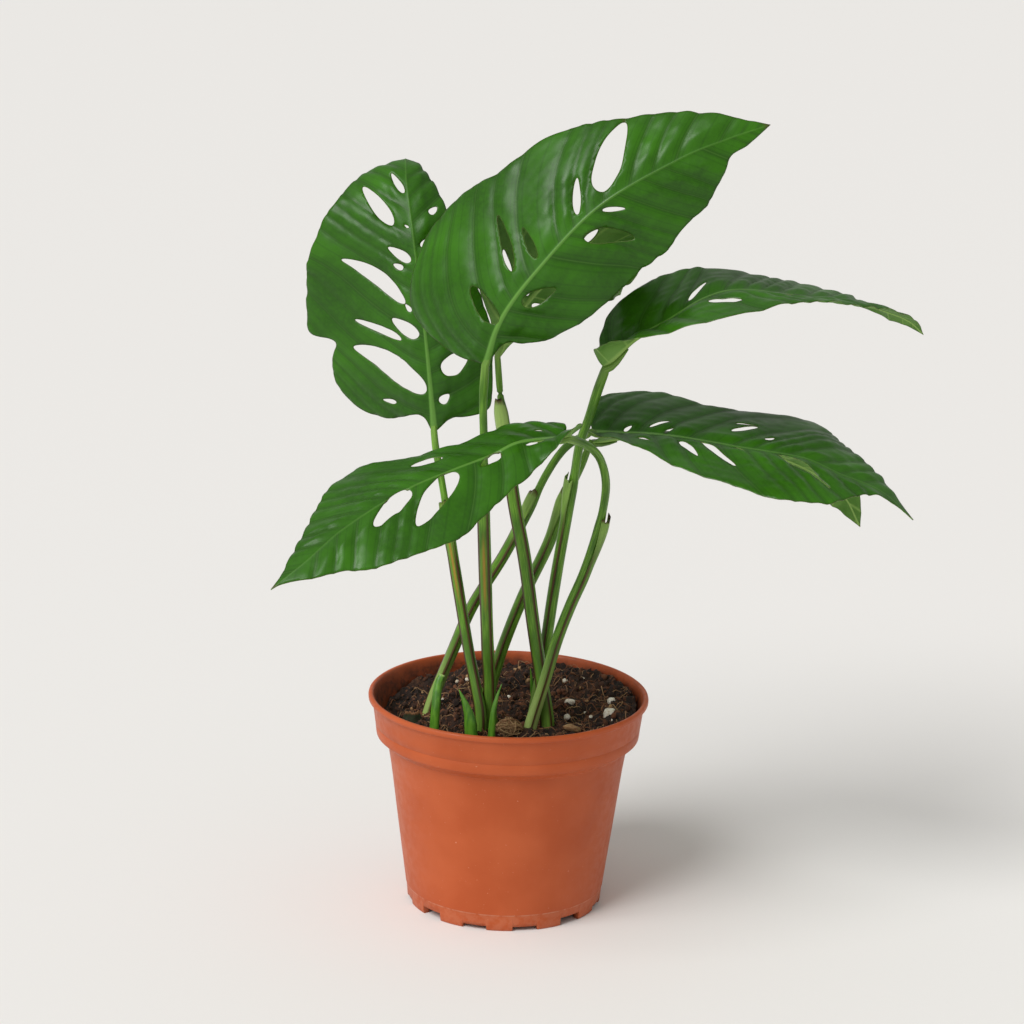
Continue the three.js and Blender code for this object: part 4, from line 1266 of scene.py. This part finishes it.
def build_pot(settings, material):
    """The pot as one closed wall turned about its axis, with a notched foot and drain holes."""
    profile = pot_profile(settings)
    notches = foot_notches()
    steps = 216
    angles = list(full_turn(steps))
    for middle, half, _ in notches:
        for edge in (middle - half, middle + half):
            angles += [(edge - 0.0012) % (2 * np.pi), (edge + 0.0012) % (2 * np.pi)]
    angles = np.array(sorted(angles))
    keep = np.append(np.diff(angles) > 1e-5, True)
    angles = angles[keep]
    rise = np.zeros(len(angles))
    for middle, half, tall in notches:
        off = (angles - middle + np.pi) % (2 * np.pi) - np.pi
        rise = np.where(np.abs(off) < half, tall, rise)
    count = len(angles)
    points, inside, wear = [], [], []
    inner_wall, lip_inside, lip_outside = 8, 11, 15
    floor_reach, ring_low, ring_high = 33, 6.1, 6.6
    for k, (r, z) in enumerate(profile[1:-1]):
        outer = k > lip_outside
        wide = r > floor_reach
        heights = np.maximum(z, rise) if wide and outer else np.full(count, float(z))
        points.append(np.stack([r * np.cos(angles), r * np.sin(angles), heights], -1))
        # How much soil stain and painted shade darken the inside: the inner wall fully, the inside of the
        # lip a little.
        inside.append(np.full(count, 1.0 if k < inner_wall else (0.35 if k < lip_inside else 0.0)))
        ring = wide and ring_low < z < ring_high
        wear.append(np.full(count, 1.0 if ring else (0.3 if z < ring_low and outer else 0.0)))
    rings = len(points)
    points = np.vstack(points + [np.array([[0, 0, profile[0][1]], [0, 0, profile[-1][1]]])])
    faces = []
    for i in range(rings - 1):
        for j in range(count):
            k = (j + 1) % count
            faces.append((i * count + j, (i + 1) * count + j, (i + 1) * count + k, i * count + k))
    low, high = len(points) - 1, len(points) - 2
    faces += [(high, j, (j + 1) % count) for j in range(count)]
    base = (rings - 1) * count
    faces += [(low, base + (j + 1) % count, base + j) for j in range(count)]
    values = {"inside": np.concatenate(inside + [[1.0, 0.0]]), "wear": np.concatenate(wear + [[0, 0]])}
    pot = make_piece("terracotta_pot", points, faces, [material], None, values)
    drill_floor(pot)
    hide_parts("pot")
    return pot


def drill_floor(pot):
    """Cuts six round drain holes through the floor of the pot."""
    points, faces = [], []
    sides = 24
    for i in range(6):
        turn = (i + 0.5) / 6 * 2 * np.pi
        middle = np.array([23 * np.cos(turn), 23 * np.sin(turn)])
        around = full_turn(sides)
        ring = middle + 2.4 * np.stack([np.cos(around), np.sin(around)], -1)
        start = len(points)
        points += [(x, y, 1.0) for x, y in ring] + [(x, y, 8.0) for x, y in ring]
        faces += [tuple(start + f for f in face) for face in tube_faces(2, sides)]
    cutter = make_piece("drain_cutter", points, faces, [])
    cut = pot.modifiers.new("drain holes", "BOOLEAN")
    cut.operation, cut.object, cut.solver = "DIFFERENCE", cutter, "EXACT"
    bpy.context.view_layer.update()
    done = bpy.data.meshes.new_from_object(pot.evaluated_get(bpy.context.evaluated_depsgraph_get()))
    pot.modifiers.clear()
    pot.data = done
    bpy.data.objects.remove(cutter)


def mix_level(x, y):
    """The smooth top of the mix: higher at the back and right, with a hollow on the left."""
    hollow = np.hypot(x + 36, y - 4) / 15
    return MIX_TOP + 0.05 * x + 0.06 * y - 4.5 * np.maximum(0, 1 - hollow**2)


def mix_surface(x, y):
    """The crumbly top of the mix, with the darker pits between its lumps."""
    bank = smooth_step(26, 44, np.hypot(x, y)) * smooth_step(-20, 30, y + 0.6 * x)
    z = mix_level(x, y) - 0.2 + 1.6 * bank
    z += 1.6 * noise(x / 6.5, y / 6.5, 11) + 1.1 * noise(x / 2.7 + 9, y / 2.7, 12)
    z += 0.75 * noise(x / 1.4, y / 1.4 + 5, 13) + 0.4 * noise(x / 0.7, y / 0.7, 14)
    pits = ((24, -2, 7.5, 3.0), (-19, -13, 6.0, 3.4), (4, 30, 7.0, 1.6), (-30, 22, 8, 1.8))
    for px, py, wide, deep in pits:
        z -= deep * np.exp(-(((x - px) / wide) ** 2 + ((y - py) / wide) ** 2))
    return z


def build_mix(material):
    """The potting mix: a crumbly top on a body that fills the pot."""
    rim, sides = 48.2, 460
    radii = np.concatenate([np.linspace(0.7, rim - 0.6, 74), [rim - 0.2]])
    turn = full_turn(sides)
    x, y = radii[:, None] * np.cos(turn), radii[:, None] * np.sin(turn)
    z = mix_surface(x, y)
    inner_wall = 47.2 + 0.166 * (z - 64.8)
    fit = np.minimum(1.0, inner_wall / np.maximum(radii[:, None], 1))
    x, y = x * fit, y * fit
    top = np.stack([x, y, z], -1)[::-1]
    lower = []
    for radius, height in ((46.7, 65.1), (44.0, 62.2), (42.7, 58.0), (38.0, 24.0), (34.0, 5.3)):
        lower.append(np.stack([radius * np.cos(turn), radius * np.sin(turn), np.full(sides, height)], -1))
    rings = np.concatenate([np.array(lower[::-1]), top])
    points = rings.reshape(-1, 3)
    shade = {"shade": np.clip(0.25 * noise(points[:, 0] / 5, points[:, 1] / 5, 21), 0, 1)}
    faces = tube_faces(len(rings), sides)
    piece = make_piece("potting_mix_body", points, faces, [material], None, shade)
    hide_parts("potting_mix")
    return piece


def fibre(rng, start, heading, length, thick, lift):
    """One curly fibre that lies over the mix, as points and faces."""
    steps = max(int(length / 0.9), 5)
    heading = heading + np.cumsum(rng.normal(0, 0.28, steps)) + np.linspace(0, rng.normal(0, 1.6), steps)
    x = start[0] + np.cumsum(np.cos(heading)) * length / steps
    y = start[1] + np.cumsum(np.sin(heading)) * length / steps
    far = np.hypot(x, y)
    pull = np.minimum(1, 46.6 / far)
    x, y = x * pull, y * pull
    share = np.linspace(0, 1, steps)
    z = mix_surface(x, y) + thick + lift * np.sin(share * np.pi) - 0.3 * (1 - np.sin(share * np.pi))
    line = np.stack([x, y, z], -1)
    taper = thick * (0.35 + 0.65 * np.sin(np.clip(share * 1.15, 0.08, 1.0) * np.pi))
    return round_strand(line, (0.1, 0.2, 1), taper)


def stems_at_soil():
    """Where stems and shoots stand in the mix, to keep loose bits off them."""
    spots = []
    for petiole in PETIOLES:
        line, _ = evenly(petiole["path"], 1.0)
        spots.append(line[np.argmin(np.abs(line[:, 2] - MIX_TOP))][:2])
    spots += [np.array(points[1][:2]) for _, points, _ in SHOOTS]
    return np.array(spots)


def build_crumbs(settings, rng, materials):
    """Crumbs of mix, chips of bark and grains of perlite, in that order of materials."""
    ball = ball_shell(1)
    crumbs = Bundle()
    stems = stems_at_soil()
    for _ in range(settings.crumbs):
        radius, turn = 46.5 * np.sqrt(rng.uniform()), rng.uniform(0, 2 * np.pi)
        x, y = radius * np.cos(turn), radius * np.sin(turn)
        size = 0.35 + 1.25 * rng.uniform() ** 2.6
        half = size * rng.uniform(0.6, 1.3, 3)
        points = ball[0] * (1 + rng.normal(0, 0.16, (len(ball[0]), 1))) * half
        spin = Matrix.Rotation(rng.uniform(0, 6.28), 3, "Z") @ Matrix.Rotation(rng.normal(0, 0.6), 3, "X")
        if np.min(np.hypot(*(stems - (x, y)).T)) < 2.6 + size:
            continue
        points = points @ np.array(spin).T + (x, y, mix_surface(x, y) + 0.25 * size)
        kind = rng.uniform()
        slot = 1 if kind > 0.95 else (2 if kind > 0.935 and size < 0.8 else 0)
        crumbs.add(points, ball[1], slot, shade=float(rng.uniform(0, 1) ** 2))
    for x, y, size in LOOSE_PERLITE:
        points, faces = round_lump((size, size * 0.9, size * 0.85), 0.2, int(50 + 7 * abs(x) + abs(y)), 2)
        crumbs.add(points + (x, y, mix_surface(x, y) + 0.5 * size), faces, 2, shade=0.0)
    piece = crumbs.make("mix_crumbs", materials)


def build_fibres(settings, rng, material):
    """Fibres scattered over the mix."""
    fibres = Bundle()
    for _ in range(settings.fibres):
        radius, turn = 45 * np.sqrt(rng.uniform()), rng.uniform(0, 2 * np.pi)
        start = (radius * np.cos(turn), radius * np.sin(turn))
        length = rng.uniform(2, 13)
        thick = rng.uniform(0.07, 0.2)
        made = fibre(rng, start, rng.uniform(0, 6.28), length, thick, rng.uniform(0.0, 1.6) * length / 12)
        fibres.add(*made, shade=float(np.clip(rng.normal(0.3, 0.3), 0, 1)))
    piece = fibres.make("coir_fibres", [material])


def build_perlite(material):
    """The larger lumps of perlite, each a piece of its own."""
    for i, (node, (x, y), half, lift) in enumerate(LUMPS):
        points, faces = round_lump(half, 0.16, 70 + i)
        seat = mix_level(x, y) + lift
        piece = make_piece(node + "_lump", points + (x, y, seat), faces, [material])
        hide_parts(node)


def build_chip(material):
    """A chip of bark that lies tilted on the mix."""
    node, (x, y), half, lift = BARK
    points, faces = round_lump(half, 0.22, 90)
    turned = points @ np.array(Matrix.Rotation(0.5, 3, "Z") @ Matrix.Rotation(0.35, 3, "Y")).T
    seat = mix_level(x, y) + lift + 0.3
    piece = make_piece(node + "_flake", turned + (x, y, seat), faces, [material])
    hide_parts(node)


def build_tangle(material):
    """A ball of loose fibre: many thin loops wound round one another."""
    node, (x, y), half, lift = TANGLE
    rng = np.random.default_rng(17)
    bundle = Bundle()
    seat = mix_level(x, y) + lift + 0.4
    for _ in range(110):
        share = np.linspace(0, rng.uniform(0.35, 0.9), 16) * 2 * np.pi
        axis = Matrix.Rotation(rng.uniform(0, 6.28), 3, "Z") @ Matrix.Rotation(rng.uniform(0, 3.14), 3, "X")
        size = rng.uniform(0.6, 1.35)
        loop = np.stack([np.cos(share), np.sin(share), rng.normal(0, 0.25) * np.cos(share * 2)], -1) * size
        line = (loop @ np.array(axis).T) * np.asarray(half) + (x, y, seat) + rng.normal(0, 0.4, 3)
        line[:, 2] = np.maximum(line[:, 2], seat - 2.2)
        thick = rng.uniform(0.1, 0.2)
        points, faces = round_strand(line, (0.31, 0.17, 0.94), np.full(len(line), thick))
        bundle.add(points, faces, shade=float(np.clip(rng.normal(0.75, 0.25), 0, 1)))
    piece = bundle.make("fibre_tangle_strands", [material])
    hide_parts(node)


def build_scrap(material):
    """A scrap of old leaf that leans on the mix, curled, with a torn tan edge."""
    node, (x, y), half_width = SCRAP
    tall, skin = 7.4, 0.35
    rows, cells = 26, 22
    u, v = np.meshgrid(np.linspace(-1, 1, cells), np.linspace(0, 1, rows))
    torn = 0.10 * noise(u * 3 + 4, v * 0, 33) + 0.05 * noise(u * 9, v * 0, 34)
    wide = half_width * (1 - 0.55 * v)
    rise = tall * v * (1 + torn)
    out = -1.6 * v**2 + 0.7 * u**2 + 0.35 * noise(u * 2.2, v * 2.2, 35)
    px = x + u * wide
    py = y - 3 + out + rise * 0.3
    pz = mix_level(x, y) - 1.2 + rise
    front = np.stack([px, py, pz], -1).reshape(-1, 3)
    back = front + (0.05, skin, 0.0)
    total = rows * cells
    faces = []
    for i in range(rows - 1):
        for j in range(cells - 1):
            a, b = i * cells + j, i * cells + j + 1
            c, d = b + cells, a + cells
            faces += [(a, b, c, d), (total + a, total + d, total + c, total + b)]
    places = np.arange(total).reshape(rows, cells)
    sides = (places[0], places[1:, -1], places[-1, -2::-1], places[-2:0:-1, 0])
    ring = np.concatenate(sides).tolist()
    for a, b in zip(ring, ring[1:] + ring[:1]):
        faces.append((b, a, total + a, total + b))
    edge = np.tile(smooth_step(0.84, 0.97, v + 0.5 * torn).reshape(-1), 2)
    points = np.vstack([front, back])
    piece = make_piece("old_leaf_scrap_sheet", points, faces, [material], None, {"edge": edge})
    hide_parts(node)


# Stage.


def build_floor(settings):
    """A plain pale floor, wide enough to fill the picture from any side."""
    mesh = bpy.data.meshes.new("studio_floor")
    reach = 9.0
    corners = [(-reach, -reach, 0), (reach, -reach, 0), (reach, reach, 0), (-reach, reach, 0)]
    mesh.from_pydata(corners, [], [(0, 1, 2, 3)])
    mesh.materials.append(make_material(matt_paper_floor, settings))
    floor = bpy.data.objects.new("studio_floor", mesh)
    bpy.context.scene.collection.objects.link(floor)


def soft_light(name, place, aim, size, power):
    """A square soft light that looks at a point."""
    light = bpy.data.lights.new(name, "AREA")
    light.shape, light.size, light.energy = "SQUARE", size, power
    lamp = bpy.data.objects.new(name, light)
    lamp.location = place
    lamp.rotation_euler = (Vector(aim) - Vector(place)).to_track_quat("-Z", "Y").to_euler()
    bpy.context.scene.collection.objects.link(lamp)


def place_camera(settings):
    """The camera: a little above the plant, looking down at it, turned slightly on its axis."""
    pitch, yaw, roll = (np.radians(a) for a in (14.906, -0.02, 1.396))
    ahead, right = np.array([np.sin(yaw), np.cos(yaw), 0]), np.array([np.cos(yaw), -np.sin(yaw), 0])
    up = np.array([0.0, 0.0, 1.0])
    look = ahead * np.cos(pitch) - up * np.sin(pitch)
    rise = up * np.cos(pitch) + ahead * np.sin(pitch)
    x = right * np.cos(roll) + rise * np.sin(roll)
    y = rise * np.cos(roll) - right * np.sin(roll)
    data = bpy.data.cameras.new("camera")
    data.lens, data.sensor_width, data.sensor_fit = settings.lens, 36.0, "HORIZONTAL"
    data.clip_start, data.clip_end = 0.01, 50.0
    camera = bpy.data.objects.new("camera", data)
    turn = Matrix((x, y, -look)).transposed().to_4x4()
    stand = (0, -1.0697, 0.43566)
    camera.matrix_world = Matrix.Translation(stand) @ turn
    bpy.context.scene.collection.objects.link(camera)
    bpy.context.scene.camera = camera


def light_room(settings):
    """Soft light from the upper left, weak fill from the lower left front, and a pale room."""
    middle = (0, 0, 0.15)
    sun = bpy.data.lights.new("key_light", "SUN")
    sun.energy, sun.angle = settings.key_power, np.radians(34)
    lamp = bpy.data.objects.new("key_light", sun)
    lamp.rotation_euler = Vector((0.62, 0.62, -0.9)).to_track_quat("-Z", "Y").to_euler()
    bpy.context.scene.collection.objects.link(lamp)
    soft_light("fill_light", (-1.0, -1.3, 0.5), middle, 0.8, settings.fill_power)
    world = bpy.data.worlds.new("room")
    world.use_nodes = True
    tree = world.node_tree
    tree.nodes.clear()
    pale = {"Color": (1.0, 0.99, 0.97, 1), "Strength": settings.sky_strength}
    add_node(tree, "OutputWorld", {"Surface": add_node(tree, "Background", pale)})
    bpy.context.scene.world = world
    view = bpy.context.scene.view_settings
    view.view_transform, view.look, view.exposure = "Standard", "None", 0.0


# Operators, panel and registration.


class VINE_OT_leaves(bpy.types.Operator):
    """Build the seven leaf blades"""

    bl_idname = "vine.leaves"
    bl_label = "Leaves"

    def execute(self, context):
        settings = context.scene.vine.leaf
        recipes = (waxy_leaf_upper, leaf_underside, corky_leaf_rim)
        materials = [make_material(recipe, settings) for recipe in recipes]
        for seed, leaf in enumerate(LEAVES):
            build_blade(leaf, settings, materials, 100 + 20 * seed)
        return {"FINISHED"}


class VINE_OT_petioles(bpy.types.Operator):
    """Build the seven petioles with their sheaths"""

    bl_idname = "vine.petioles"
    bl_label = "Petioles"

    def execute(self, context):
        settings = context.scene.vine.stem
        material = make_material(green_petiole_skin, settings)
        surfaces = {leaf["name"]: LeafSurface(leaf) for leaf in LEAVES}
        for seed, petiole in enumerate(PETIOLES):
            build_petiole(petiole, surfaces[petiole["leaf"]], material, settings, 300 + 20 * seed)
        return {"FINISHED"}


class VINE_OT_shoots(bpy.types.Operator):
    """Build the young shoots"""

    bl_idname = "vine.shoots"
    bl_label = "Young shoots"

    def execute(self, context):
        material = make_material(tender_shoot_skin, context.scene.vine.stem)
        for node, points, halves in SHOOTS:
            made, faces, edge = spindle(points, halves, node == "shoot_sheathed")
            piece = make_piece(node + "_tip", made, faces, [material], None, {"edge": edge})
            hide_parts(node)
        return {"FINISHED"}


class VINE_OT_pot(bpy.types.Operator):
    """Build the pot"""

    bl_idname = "vine.pot"
    bl_label = "Pot"

    def execute(self, context):
        settings = context.scene.vine.pot
        build_pot(settings, make_material(terracotta_polypropylene, settings))
        return {"FINISHED"}


class VINE_OT_mix(bpy.types.Operator):
    """Build the potting mix with its crumbs, fibres, perlite, bark and scrap of leaf"""

    bl_idname = "vine.mix"
    bl_label = "Potting mix"

    def execute(self, context):
        settings = context.scene.vine.mix
        recipes = (moist_peat_and_coir, coir_fibre, expanded_perlite, pine_bark, dead_leaf)
        crumb, fibres, perlite, chips, scrap = (make_material(recipe, settings) for recipe in recipes)
        build_mix(crumb)
        rng = np.random.default_rng(41)
        build_crumbs(settings, rng, [crumb, chips, perlite])
        build_fibres(settings, rng, fibres)
        build_perlite(perlite)
        build_chip(chips)
        build_tangle(fibres)
        build_scrap(scrap)
        return {"FINISHED"}


class VINE_OT_stage(bpy.types.Operator):
    """Build the floor, lights and camera"""

    bl_idname = "vine.stage"
    bl_label = "Stage"

    def execute(self, context):
        settings = context.scene.vine.stage
        build_floor(settings)
        light_room(settings)
        place_camera(settings)
        return {"FINISHED"}


OPERATORS = (VINE_OT_pot, VINE_OT_mix, VINE_OT_petioles, VINE_OT_leaves, VINE_OT_shoots, VINE_OT_stage)


class VINE_PT_panel(bpy.types.Panel):
    """Lists the steps that build the vine"""

    bl_label = "Swiss cheese vine"
    bl_space_type = "VIEW_3D"
    bl_region_type = "UI"
    bl_category = "Vine"

    def draw(self, context):
        for operator in OPERATORS:
            self.layout.operator(operator.bl_idname)


SETTINGS = (LeafSettings, StemSettings, PotSettings, MixSettings, StageSettings, VineSettings)
CLASSES = (*SETTINGS, *OPERATORS, VINE_PT_panel)


def register():
    for cls in CLASSES:
        bpy.utils.register_class(cls)
    bpy.types.Scene.vine = PointerProperty(type=VineSettings)


def unregister():
    del bpy.types.Scene.vine
    for cls in reversed(CLASSES):
        bpy.utils.unregister_class(cls)


def main():
    register()
    bpy.ops.vine.pot()
    bpy.ops.vine.mix()
    bpy.ops.vine.petioles()
    bpy.ops.vine.leaves()
    bpy.ops.vine.shoots()
    bpy.ops.vine.stage()


if __name__ == "__main__":
    main()
